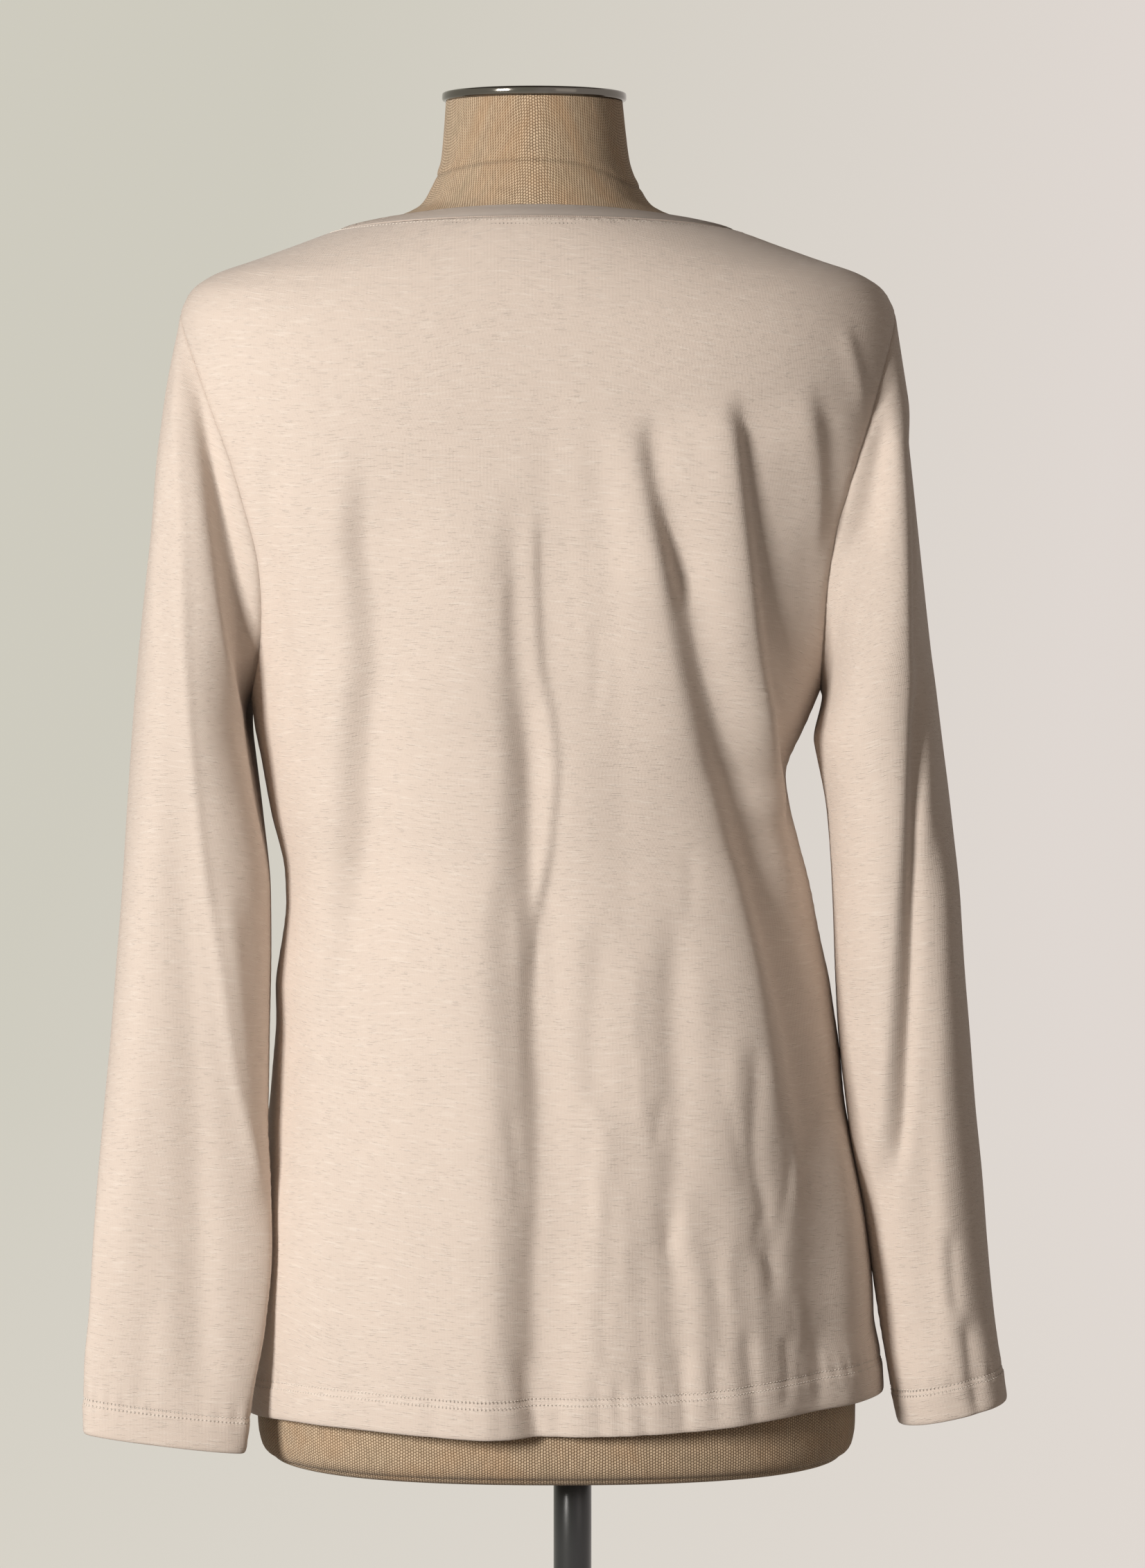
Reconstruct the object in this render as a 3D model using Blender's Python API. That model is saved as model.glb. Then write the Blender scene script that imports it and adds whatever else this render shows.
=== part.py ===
"""A long-sleeved T-shirt on a limbless dress form that stands on a short pole.

The shirt's back faces -Y, the wearer's left arm is at -X, up is +Z and the floor is Z = 0.
Tables and cloth sizes are in millimetres. Heights in them count from a level just above the
form's underside, which is DATUM above the floor.
Every ring of the form, and of the shirt on it, is a level oval. The cloth is the form's own
surface, stood off by the ease that the cut leaves at that height, and then folded.
"""

import math

import bpy
import numpy as np

MM = 0.001

# Stand
DATUM = 400.0
FORM_BOTTOM, FORM_TOP = -8.0, 738.0  # underside of the form, and top of its covered neck
CAP_RADIUS, CAP_HEIGHT, CAP_EDGE = 50.5, 4.8, 1.2
POLE_RADIUS = 10.5
BASE_RADIUS, BASE_HEIGHT, BASE_EDGE = 150.0, 14.0, 3.0
FIT = 0.3  # space between pieces that touch

# Lean of the form: its middle lies at these x at its underside and at its neck
MIDDLE_AT_BOTTOM, MIDDLE_AT_NECK, LEAN_HEIGHT = -8.6, -21.0, 741.0

# Half sizes of the form's rings, from its middle to each side, and how square the oval is
FORM_COLUMNS = ("height", "side", "back", "front", "square")
FORM_RINGS = (
    (-8, 150.0, 98.0, 88.0, 2.30),
    (-5, 157.5, 105.5, 95.0, 2.30),
    (1, 163.0, 111.0, 99.5, 2.30),
    (12, 165.0, 113.0, 101.5, 2.30),
    (40, 165.5, 114.0, 102.0, 2.28),
    (80, 165.0, 114.0, 101.0, 2.25),
    (120, 161.0, 112.0, 99.0, 2.22),
    (160, 152.5, 107.0, 96.0, 2.20),
    (200, 141.5, 98.0, 92.0, 2.18),
    (250, 127.0, 85.0, 89.0, 2.15),
    (300, 117.0, 75.0, 87.0, 2.15),
    (330, 114.0, 71.0, 87.0, 2.15),
    (370, 117.0, 73.0, 91.0, 2.20),
    (410, 128.0, 79.0, 100.0, 2.28),
    (450, 142.0, 86.0, 107.0, 2.35),
    (490, 156.0, 91.0, 104.0, 2.45),
    (530, 171.0, 93.5, 94.0, 2.55),
    (565, 181.0, 93.0, 83.0, 2.55),
    (595, 186.5, 89.5, 73.0, 2.45),
    (615, 188.0, 85.5, 66.5, 2.35),
    (628, 185.0, 82.0, 63.0, 2.20),
    (638, 176.5, 78.5, 60.5, 2.10),
    (648, 156.0, 74.0, 58.0, 2.10),
    (658, 129.5, 68.5, 56.0, 2.05),
    (665, 110.5, 63.5, 54.5, 2.00),
    (671, 90.0, 58.5, 53.5, 2.00),
    (676, 74.0, 54.5, 52.5, 2.00),
    (682, 63.0, 51.5, 51.5, 2.00),
    (690, 57.8, 50.2, 50.6, 2.00),
    (698, 54.0, 49.6, 50.0, 2.00),
    (706, 51.7, 49.2, 49.6, 2.00),
    (720, 50.0, 48.9, 49.1, 2.00),
    (738, 48.4, 48.4, 48.4, 2.00),
)
BUST_HEIGHT, BUST_APART, BUST_REACH, BUST_SIZE = 452.0, 74.0, 56.0, 13.0

# Ease: how far the middle of the cloth stands off the form, on each side of the body
EASE_COLUMNS = ("height", "left", "right", "back", "front")
EASE = (
    (0, 4.0, 14.0, 14.0, 16.0),
    (25, 4.0, 14.5, 13.5, 16.0),
    (50, 3.5, 13.5, 12.5, 16.0),
    (72, 3.5, 10.5, 11.5, 16.0),
    (100, 3.5, 11.0, 9.5, 16.0),
    (136, 4.0, 12.0, 9.0, 16.0),
    (177, 6.5, 15.0, 10.5, 16.5),
    (223, 13.0, 24.0, 14.0, 18.5),
    (255, 21.0, 28.0, 18.0, 21.0),
    (292, 27.0, 28.5, 22.0, 23.0),
    (310, 28.0, 27.5, 23.0, 23.5),
    (331, 33.0, 24.5, 24.0, 23.0),
    (353, 36.5, 19.0, 22.5, 21.0),
    (374, 37.0, 15.0, 20.5, 17.0),
    (398, 35.0, 18.0, 17.0, 11.0),
    (422, 30.5, 20.5, 13.5, 6.5),
    (450, 24.0, 21.5, 9.5, 3.0),
    (490, 19.0, 18.5, 5.5, 3.0),
    (530, 14.0, 14.0, 3.4, 3.0),
    (565, 12.0, 12.0, 2.6, 2.6),
    (595, 10.5, 10.5, 2.4, 2.6),
    (618, 8.5, 8.5, 2.2, 2.6),
    (630, 7.0, 7.0, 2.0, 2.4),
    (641, 4.0, 4.0, 1.9, 2.0),
    (652, 1.9, 1.9, 1.8, 1.8),
    (700, 1.6, 1.6, 1.6, 1.6),
)
LEAST_EASE = 1.55  # keeps the inside of the cloth clear of the form
VALLEY_SOFTNESS = 0.5  # how gently a valley flattens out on the form, as a part of its depth
SIDE_CALM = 3  # how close to the side seams the folds of the body reach
CLOTH = 1.4  # thickness of the jersey as a wall
RIB = 1.8  # thickness of the doubled rib of the neckband
BAND_WIDTH = 9.0

# Neckline: high point of the shoulder, middle of the back and middle of the front
NECK_SIDE, NECK_BACK, NECK_FRONT, NECK_HALF, NECK_ROUND = 665.8, 671.2, 583.0, 110.0, 1.2

# Armhole: an oval in side view, from the shoulder tip down to the underarm. A sleeve keeps
# this far from the panels' edge, and more of the cloth's thickness where it turns down.
ARMHOLE_FIT, ARMHOLE_TURN = 0.5, 0.65
ARMHOLE_TOP, ARMHOLE_BOTTOM = 621.0, 422.5
ARMHOLE_DEPTH = {("left", "back"): 54.0, ("right", "back"): 49.0,
                 ("left", "front"): 55.0, ("right", "front"): 55.0}

# Height of the hem, all round, by the angle from the right side: 90 is the front, 270 the back
HEM_COLUMNS = ("angle", "height")
HEM = ((0, 29), (30, 27), (90, 24), (150, 20), (180, 18), (200, 21), (225, 24),
       (262, 22), (290, 24), (315, 29), (335, 31), (360, 29))

# Folds of the body: one ridge (lift > 0) or valley (lift < 0) a row. Each runs from its top
# to its bottom, and bows sideways between them. Its fade is how far its ends run out. A row is
# (top, bottom, x at the top, x at the bottom, bow, width, lift, fade).
BACK_FOLDS = (
    (600, 330, 84, 110, 2, 16, 6.5, 80),
    (580, 250, 106, 132, 3, 17, -7.5, 90),
    (590, 490, 130, 140, 0, 9, 4.0, 40),
    (570, 120, 36, 92, -2, 16, 6.5, 120),
    (550, 40, 58, 110, 2, 17, -8.0, 140),
    (330, 20, 126, 126, 0, 17, 4.0, 80),
    (500, 10, -54, -60, -4, 19, 5.5, 110),
    (490, 10, -26, -27, 4, 16, -8.5, 100),
    (450, 290, -2, -8, 8, 11, 3.5, 50),
    (510, 190, -122, -120, 0, 22, -9.0, 110),
    (530, 210, -152, -145, 0, 16, 4.0, 110),
    (330, 30, 12, 18, 0, 18, 3.5, 70),
    (270, 10, 46, 44, 0, 17, -3.5, 70),
    (310, 50, 68, 74, 0, 15, 3.5, 70),
    (130, 0, 92, 96, 0, 14, -4.0, 50),
)
FRONT_FOLDS = (
    (430, 30, 78, 88, 4, 17, 6.0, 80),
    (420, 20, 46, 50, -3, 15, -8.0, 80),
    (400, 20, 6, 12, 3, 18, 5.0, 70),
    (420, 30, -38, -44, 0, 15, -8.0, 80),
    (430, 30, -78, -90, 3, 17, 6.0, 80),
    (380, 30, 122, 128, 0, 15, -6.0, 80),
    (380, 30, -122, -124, 0, 15, -5.0, 80),
    (585, 480, 128, 120, 0, 9, 3.0, 40),
    (585, 480, -158, -150, 0, 9, 3.0, 40),
)

# Sleeves below the underarm: where each ring's inner and outer edges lie, its middle from
# back to front, half its depth, how square it is, and how much higher its outer edge hangs
SLEEVE_COLUMNS = ("height", "inner", "outer", "middle", "depth", "square", "rise")
SLEEVE_RINGS = {
    "right": (
        (387, 133.5, 202.5, -6.0, 60.0, 2.2, 2.0),
        (350, 140.5, 207.0, -8.0, 56.0, 2.2, 2.5),
        (306, 143.5, 210.5, -10.0, 50.0, 2.2, 3.0),
        (262, 146.0, 214.0, -12.0, 46.0, 2.2, 3.5),
        (231, 148.5, 217.0, -12.0, 44.0, 2.2, 4.0),
        (185, 154.0, 221.0, -10.0, 41.0, 2.2, 5.0),
        (147, 160.0, 225.0, -9.0, 38.5, 2.2, 6.0),
        (108, 165.5, 228.0, -10.0, 36.5, 2.2, 7.5),
        (70, 170.0, 231.5, -13.0, 35.0, 2.2, 9.0),
        (42, 175.0, 235.0, -18.0, 34.0, 2.2, 11.0),
        (20, 180.0, 238.0, -18.0, 33.0, 2.2, 13.0),
    ),
    "left": (
        (387, -177.0, -241.0, -12.0, 60.0, 2.2, 2.0),
        (350, -171.0, -243.5, -14.0, 52.0, 2.2, 2.5),
        (306, -166.0, -246.0, -18.0, 44.0, 2.2, 3.0),
        (270, -165.5, -248.5, -24.0, 40.0, 2.2, 3.5),
        (226, -166.0, -251.5, -33.0, 35.0, 2.2, 4.0),
        (188, -166.0, -254.5, -42.0, 28.0, 2.2, 5.0),
        (154, -164.0, -257.0, -51.0, 21.0, 2.2, 6.0),
        (118, -162.5, -259.0, -62.0, 14.0, 2.2, 7.5),
        (77, -166.0, -261.0, -68.0, 12.5, 2.2, 9.0),
        (44, -172.0, -263.5, -72.0, 12.0, 2.2, 10.0),
        (11, -177.0, -263.0, -75.0, 12.0, 2.2, 10.5),
    ),
}
# Folds of the sleeves, by turns in degrees: 0 is the outer edge, 90 the back and 180 the inside.
# A row is (top, bottom, turn at the top, turn at the bottom, width, lift, fade).
SLEEVE_FOLDS = {
    "right": (
        (540, 70, 62, 57, 23, -10.0, 170),
        (540, 90, 96, 100, 24, 5.0, 90),
        (430, 120, 245, 235, 24, -8.0, 90),
        (300, 90, 300, 300, 22, 4.0, 80),
    ),
    "left": (
        (560, 400, 112, 105, 20, -8.0, 70),
        (330, 60, 80, 72, 22, -6.0, 80),
        (500, 60, 40, 40, 20, 3.0, 90),
        (430, 120, 255, 250, 26, -7.0, 90),
        (300, 90, 310, 305, 22, 3.0, 80),
    ),
}
# Direction in which a sleeve leaves its armhole: outwards and down, at its top, back and foot
LEAVE_OUT = {"top": 0.12, "back": 0.72, "foot": 0.42}
LEAVE_DOWN = {"top": 0.99, "back": 0.62, "foot": 0.80}
LEAVE_BACK = 0.2  # and how far it turns away from the middle of the armhole
FOLD_SETTLE_ROWS = 2  # rows over which a sleeve's folds rise, from none at the armhole's seam

# Fineness of the meshes
BACK_COLUMNS, FRONT_COLUMNS = 40, 34
FORM_AROUND, POLE_AROUND, BASE_AROUND = 36, 32, 64
SKIRT_ROWS, ARMHOLE_ROWS, SHOULDER_ROWS = 11, 12, 7
CAP_ROWS, SLEEVE_ROWS = 8, 11
CAP_CROWD = 1.15  # brings a sleeve's rows closer together at its armhole
NECK_CROWD = 0.85  # brings the front's columns closer together beside the shoulders
EDGE_PULL = 3  # how quickly a panel's columns straighten, away from its armholes

JERSEY = ("jersey", (0.74, 0.60, 0.50, 1.0), 0.85, 0.0)
LINEN = ("linen", (0.36, 0.25, 0.16, 1.0), 0.90, 0.0)
CHROME = ("chrome", (0.80, 0.80, 0.80, 1.0), 0.12, 1.0)
BLACK_METAL = ("black_metal", (0.02, 0.02, 0.02, 1.0), 0.40, 0.0)


# Curves and tables

def curve_through(knots, values, at):
    """A smooth curve through the values at the knots, without overshoot between them."""
    knots, values = np.asarray(knots, float), np.asarray(values, float)
    span = np.diff(knots)
    slope = np.diff(values) / span
    tangent = np.zeros(len(knots))
    tangent[0], tangent[-1] = slope[0], slope[-1]
    for i in range(1, len(knots) - 1):
        if slope[i - 1] * slope[i] > 0:
            before, after = 2 * span[i] + span[i - 1], span[i] + 2 * span[i - 1]
            tangent[i] = (before + after) / (before / slope[i - 1] + after / slope[i])
    at = np.clip(at, knots[0], knots[-1])
    i = np.clip(np.searchsorted(knots, at, side="right") - 1, 0, len(span) - 1)
    t = (at - knots[i]) / span[i]
    rise = values[i] * (1 + 2 * t) * (1 - t) ** 2 + values[i + 1] * t * t * (3 - 2 * t)
    return rise + span[i] * (tangent[i] * t * (1 - t) ** 2 - tangent[i + 1] * t * t * (1 - t))


def column(names, rows, name, at):
    """One named column of a table, read at any value of the table's first column."""
    ordered = sorted(rows)
    place = names.index(name)
    return curve_through([row[0] for row in ordered], [row[place] for row in ordered], at)


def unit(vectors):
    return vectors / np.linalg.norm(vectors, axis=-1, keepdims=True)


def fade_between(bottom, top, fade, at):
    """1 between the two heights, running out to 0 over the fade at both ends."""
    up = np.clip((at - bottom) / fade, 0, 1)
    down = np.clip((top - at) / fade, 0, 1)
    ease = np.minimum(up, down)
    return ease * ease * (3 - 2 * ease)


# The form, and the cloth's surface around it

def middle_x(height):
    return MIDDLE_AT_BOTTOM + (MIDDLE_AT_NECK - MIDDLE_AT_BOTTOM) * height / LEAN_HEIGHT


def form_point(angle, height):
    """The form's surface. The angle is 0 at the right side and a quarter turn at the front."""
    side, back, front, square = (column(FORM_COLUMNS, FORM_RINGS, name, height)
                                 for name in FORM_COLUMNS[1:])
    cos, sin = np.cos(angle), np.sin(angle)
    swell = (np.abs(cos) ** square + np.abs(sin) ** square) ** (-1 / square)
    x = side * cos * swell
    y = np.where(sin > 0, front, back) * sin * swell
    for bust in (-BUST_APART, BUST_APART):
        away = ((x - bust) ** 2 + (height - BUST_HEIGHT) ** 2) / BUST_REACH ** 2
        y = y + BUST_SIZE * np.exp(-away) * np.clip(sin, 0, 1) ** 2
    return np.stack(np.broadcast_arrays(x + middle_x(height), y, height), axis=-1)


def outward(surface, angle, height):
    """Unit normals of a surface of (angle, height), by small steps both ways."""
    turn, climb = 0.004, 0.4
    along = surface(angle + turn, height) - surface(angle - turn, height)
    upward = surface(angle, height + climb) - surface(angle, height - climb)
    return unit(np.cross(along, upward))


def fold_lift(folds, x, height):
    lift = np.zeros(np.shape(x))
    for top, bottom, x_top, x_bottom, bow, width, size, fade in folds:
        down = np.clip((top - height) / (top - bottom), 0, 1)
        line = x_top + (x_bottom - x_top) * down + bow * np.sin(math.pi * down)
        across = np.exp(-((x - line) / width) ** 2)
        lift = lift + size * across * fade_between(bottom - fade / 2, top, fade, height)
    return lift


def cloth_point(angle, height):
    """The middle of the shirt body's cloth."""
    point = form_point(angle, height)
    left, right, back, front = (column(EASE_COLUMNS, EASE, name, height)
                                for name in EASE_COLUMNS[1:])
    cos, sin = np.cos(angle), np.sin(angle)
    ease = np.where(cos > 0, right, left) * cos ** 2 + np.where(sin > 0, front, back) * sin ** 2
    x = point[..., 0]
    folds = np.where(sin > 0, fold_lift(FRONT_FOLDS, x, height), fold_lift(BACK_FOLDS, x, height))
    folds = folds * np.clip(np.abs(sin) * SIDE_CALM, 0, 1)
    spare = ease + folds - LEAST_EASE
    lift = LEAST_EASE + (spare + np.hypot(spare, VALLEY_SOFTNESS * folds)) / 2
    return point + outward(form_point, angle, height) * lift[..., None]


def angle_at(height, across, from_side):
    """Angle from a side at which the ring lies `across` in front of or behind the sides."""
    depth = column(FORM_COLUMNS, FORM_RINGS, from_side, height)
    depth = depth + column(EASE_COLUMNS, EASE, from_side, height)
    square = column(FORM_COLUMNS, FORM_RINGS, "square", height)
    part = np.clip(np.abs(across) / depth, 0, 0.999)
    return np.arctan2(part, (1 - part ** square) ** (1 / square))


def armhole(around, arm):
    """Angle and height of the armhole's line: around is 0 on top and a quarter turn behind."""
    middle, half = (ARMHOLE_TOP + ARMHOLE_BOTTOM) / 2, (ARMHOLE_TOP - ARMHOLE_BOTTOM) / 2
    height = middle + half * np.cos(around)
    behind = np.sin(around) > 0
    from_side = np.where(
        behind,
        angle_at(height, ARMHOLE_DEPTH[arm, "back"] * np.sin(around), "back"),
        angle_at(height, ARMHOLE_DEPTH[arm, "front"] * np.sin(around), "front"))
    turned = np.where(behind, -from_side, from_side)
    return (turned if arm == "right" else math.pi - turned), height


def armhole_steps():
    """Turns from the armhole's top to its foot, where the panels and sleeves have points."""
    part = np.linspace(0, 1, ARMHOLE_ROWS + 1)
    return (math.pi * part + np.arccos(1 - 2 * part)) / 2


def neckline(part, face):
    """Angle from the right side and height of the neckline: part runs from 0, right, to 1."""
    around = math.pi * part
    if face == "back":
        return around, NECK_SIDE + (NECK_BACK - NECK_SIDE) * np.sin(around)
    around = math.pi * (part - NECK_CROWD / (2 * math.pi) * np.sin(2 * math.pi * part))
    height = NECK_SIDE - (NECK_SIDE - NECK_FRONT) * np.sin(around) ** NECK_ROUND
    half = column(FORM_COLUMNS, FORM_RINGS, "side", height)
    half = half + (NECK_HALF - column(FORM_COLUMNS, FORM_RINGS, "side", NECK_SIDE))
    square = column(FORM_COLUMNS, FORM_RINGS, "square", height)
    sideways = np.clip(NECK_HALF * np.cos(around) / half, -1, 1)
    forward = np.clip(1 - np.abs(sideways) ** square, 0, 1) ** (1 / square)
    return np.arctan2(forward, sideways), height


def panel_grid(face, columns):
    """Angles and heights of a body panel's points, row by row from its hem to its neckline."""
    part = np.linspace(0, 1, columns + 1)
    sign = -1 if face == "back" else 1
    around = armhole_steps()[-2:0:-1]
    tip, high = ARMHOLE_TOP + FIT / 2, NECK_SIDE
    shoulder = shoulder_heights(tip, high)
    edges = {}
    for arm in ("right", "left"):
        turned, height = armhole(around if face == "back" else -around, arm)
        turned = np.abs(turned) if arm == "right" else np.abs(turned - math.pi)
        height = np.concatenate([[ARMHOLE_BOTTOM - FIT / 2], height, shoulder])
        seam = angle_at(height, FIT / 2, face)
        seam[1:len(around) + 1] = turned
        edges[arm] = seam, height
    low_angle = math.pi * part
    low_height = np.full(columns + 1, ARMHOLE_BOTTOM)
    top_angle, top_height = neckline(part, face)
    v = (edges["right"][1] - ARMHOLE_BOTTOM) / (high - ARMHOLE_BOTTOM)
    v = np.clip(v, 0, 1)[:, None]

    def patch(right, left, low, top):
        ruled = (1 - v) * low + v * top
        from_right, from_left = (1 - part) ** EDGE_PULL, part ** EDGE_PULL
        return (ruled + from_right * (right[:, None] - ruled[:, :1])
                + from_left * (left[:, None] - ruled[:, -1:]))

    low_angle[0], low_angle[-1] = edges["right"][0][0], math.pi - edges["left"][0][0]
    top_angle[0], top_angle[-1] = edges["right"][0][-1], math.pi - edges["left"][0][-1]
    angles = patch(edges["right"][0], math.pi - edges["left"][0], low_angle, top_angle)
    heights = patch(edges["right"][1], edges["left"][1], low_height, top_height)
    hem = column(HEM_COLUMNS, HEM, "height", np.degrees(sign * low_angle) % 360)
    climb = np.linspace(0, 1, SKIRT_ROWS + 1)[:-1, None]
    skirt_heights = hem + (heights[0] - hem) * climb
    skirt_angles = np.repeat(low_angle[None], SKIRT_ROWS, axis=0)
    for j, height in enumerate(skirt_heights):
        skirt_angles[j, 0] = angle_at(height[0], FIT / 2, face)
        skirt_angles[j, -1] = math.pi - angle_at(height[-1], FIT / 2, face)
    return (sign * np.concatenate([skirt_angles, angles]),
            np.concatenate([skirt_heights, heights]))


def shoulder_heights(tip, high):
    """Heights up the shoulder seam, evenly spaced along its slope."""
    fine = np.linspace(tip, high, 200)
    line = cloth_point(np.zeros(len(fine)), fine)
    run = np.concatenate([[0], np.cumsum(np.linalg.norm(np.diff(line, axis=0), axis=1))])
    return np.interp(np.linspace(0, run[-1], SHOULDER_ROWS), run, fine)


# Cloth walls

def wall(points, normals, thickness, closed):
    """Vertices and triangles of a wall about a grid of points. closed joins the two sides."""
    rows, columns = points.shape[:2]
    verts = np.concatenate([(points + normals * thickness / 2).reshape(-1, 3),
                            (points - normals * thickness / 2).reshape(-1, 3)])
    inside = rows * columns
    flat = points.reshape(-1, 3)
    faces = []

    def quad(a, b, c, d):
        faces.extend([(a, b, c), (a, c, d)])

    def both_skins(a, b, c, d):
        """A quad of the outer skin, cut along its shorter diagonal, and the one inside it."""
        if np.linalg.norm(flat[a] - flat[c]) > np.linalg.norm(flat[b] - flat[d]):
            a, b, c, d = b, c, d, a
        quad(a, b, c, d)
        faces.extend([(a + inside, c + inside, b + inside), (a + inside, d + inside, c + inside)])

    across = columns if closed else columns - 1
    for j in range(rows - 1):
        for i in range(across):
            a, b = j * columns + i, j * columns + (i + 1) % columns
            c, d = b + columns, a + columns
            both_skins(a, b, c, d)
    for i in range(across):
        a, b = i, (i + 1) % columns
        quad(b, a, a + inside, b + inside)
        a, b = a + (rows - 1) * columns, b + (rows - 1) * columns
        quad(a, b, b + inside, a + inside)
    if not closed:
        for j in range(rows - 1):
            a, b = j * columns, (j + 1) * columns
            quad(a, b, b + inside, a + inside)
            a, b = a + columns - 1, b + columns - 1
            quad(b, a, a + inside, b + inside)
    return verts, faces


def facing_out(verts, faces):
    """The faces, turned round if they enclose their volume inside out."""
    corners = verts[np.array(faces)]
    volume = np.einsum("ij,ij->i", corners[:, 0], np.cross(corners[:, 1], corners[:, 2])).sum()
    return faces if volume > 0 else [face[::-1] for face in faces]


def body_panel(face, columns):
    angles, heights = panel_grid(face, columns)
    return wall(cloth_point(angles, heights), outward(cloth_point, angles, heights), CLOTH, False)


def grid_normals(points):
    """Normals of a grid whose columns go all the way round."""
    around = np.roll(points, -1, axis=1) - np.roll(points, 1, axis=1)
    along = np.gradient(points, axis=0, edge_order=2)
    return unit(np.cross(along, around))


def sleeve_ring(arm, around, height):
    """The sleeve's tube below the underarm, before its folds."""
    inner, outer, middle, depth, square, rise = (
        column(SLEEVE_COLUMNS, SLEEVE_RINGS[arm], name, height) for name in SLEEVE_COLUMNS[1:])
    cos, sin = np.cos(around), np.sin(around)
    swell = (np.abs(cos) ** square + np.abs(sin) ** square) ** (-1 / square)
    x = (inner + outer) / 2 + (outer - inner) / 2 * cos * swell
    return np.stack(np.broadcast_arrays(
        x, middle - depth * sin * swell, height + rise / 2 * cos * swell), axis=-1)


def sleeve_start(arm, around):
    """Where the sleeve meets its armhole, and the way it leaves it."""
    angle, height = armhole(around, arm)
    edge = cloth_point(angle, height)
    face = outward(cloth_point, angle, height)
    side = 1 if arm == "right" else -1
    top, foot = np.clip(np.cos(around), 0, 1) ** 2, np.clip(-np.cos(around), 0, 1) ** 2
    back = np.sin(around) ** 2

    def mix(parts):
        return parts["top"] * top + parts["back"] * back + parts["foot"] * foot

    leave = unit(np.stack([side * mix(LEAVE_OUT), -LEAVE_BACK * np.sin(around),
                           -mix(LEAVE_DOWN)], axis=-1))
    line = unit(np.roll(edge, -1, axis=0) - np.roll(edge, 1, axis=0))
    into = unit(np.cross(face, line))
    toward_middle = np.sign(np.sum(into * (edge.mean(axis=0) - edge), axis=-1, keepdims=True))
    into = into * toward_middle
    own_face = unit(np.cross(line, leave)) * side
    own_face = own_face * np.sign(own_face[0, 0] * side)
    bend = 1 - np.sum(face * own_face, axis=-1, keepdims=True)
    start = edge + unit(into + leave) * (ARMHOLE_FIT + ARMHOLE_TURN * CLOTH * bend)
    return start, leave


def sleeve_points(arm):
    steps = armhole_steps()
    around = np.concatenate([steps, 2 * math.pi - steps[-2:0:-1]])
    start, leave = sleeve_start(arm, around)
    rings = sorted(SLEEVE_RINGS[arm], reverse=True)
    first, second = (sleeve_ring(arm, around, float(ring[0])) for ring in rings[:2])
    downward = unit(second - first)
    reach = np.linalg.norm(first - start, axis=-1, keepdims=True)
    rows = []
    for t in np.linspace(0, 1, CAP_ROWS + 1)[:-1] ** CAP_CROWD:
        from_start = start * (1 + 2 * t) * (1 - t) ** 2 + leave * reach * t * (1 - t) ** 2
        to_first = first * t * t * (3 - 2 * t) - downward * reach * t * t * (1 - t)
        rows.append(from_start + to_first)
    for height in np.linspace(rings[0][0], rings[-1][0], SLEEVE_ROWS):
        rows.append(sleeve_ring(arm, around, height))
    points = np.array(rows)
    return points + sleeve_lift(arm, around, points)


def sleeve_lift(arm, around, points):
    height = points[..., 2]
    lift = np.zeros(height.shape)
    for top, bottom, turn_top, turn_bottom, width, size, fade in SLEEVE_FOLDS[arm]:
        down = np.clip((top - height) / (top - bottom), 0, 1)
        line = np.radians(turn_top + (turn_bottom - turn_top) * down)
        away = np.angle(np.exp(1j * (around - line)))
        across = np.exp(-(away / math.radians(width)) ** 2)
        lift += size * across * fade_between(bottom - fade / 2, top, fade, height)
    settle = np.clip(np.arange(len(height)) / FOLD_SETTLE_ROWS, 0, 1)[:, None]
    return outer_side(arm, grid_normals(points)) * (lift * settle)[..., None]


def outer_side(arm, normals):
    """Normals of a sleeve's grid, turned to point out of the tube."""
    side = 1 if arm == "right" else -1
    return normals * np.sign(normals[-1, 0, 0] * side)


def sleeve(arm):
    points = sleeve_points(arm)
    return wall(points, outer_side(arm, grid_normals(points)), CLOTH, True)


def place_on_form(points):
    """Angle and height at which the form's surface passes each point, or level with it."""
    height = points[..., 2]
    x, y = points[..., 0] - middle_x(height), points[..., 1]
    side = column(FORM_COLUMNS, FORM_RINGS, "side", height)
    depth = np.where(y > 0, column(FORM_COLUMNS, FORM_RINGS, "front", height),
                     column(FORM_COLUMNS, FORM_RINGS, "back", height))
    return np.arctan2(y / depth, x / side), height


def neckband():
    front_angle, front_height = neckline(np.linspace(0, 1, FRONT_COLUMNS + 1)[:-1], "front")
    back_angle, back_height = neckline(np.linspace(1, 0, BACK_COLUMNS + 1)[:-1], "back")
    angle = np.concatenate([front_angle, -back_angle])
    height = np.concatenate([front_height, back_height])
    seam = form_point(angle, height)
    line = unit(np.roll(seam, -1, axis=0) - np.roll(seam, 1, axis=0))
    inward = unit(np.cross(outward(form_point, angle, height), line))
    rows = [place_on_form(seam + inward * away) for away in (FIT, BAND_WIDTH / 2, BAND_WIDTH)]
    angles, heights = (np.array(values) for values in zip(*rows))
    points = cloth_point(angles, heights)
    faces = outward(cloth_point, angles, heights)
    return wall(points + faces * (RIB - CLOTH) / 2, faces, RIB, True)


# Objects

def material(kind):
    name, colour, roughness, metallic = kind
    found = bpy.data.materials.get(name) or bpy.data.materials.new(name)
    found.use_nodes = True
    shader = found.node_tree.nodes["Principled BSDF"]
    shader.inputs["Base Color"].default_value = colour
    shader.inputs["Roughness"].default_value = roughness
    shader.inputs["Metallic"].default_value = metallic
    found.diffuse_color = colour
    return found


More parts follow.
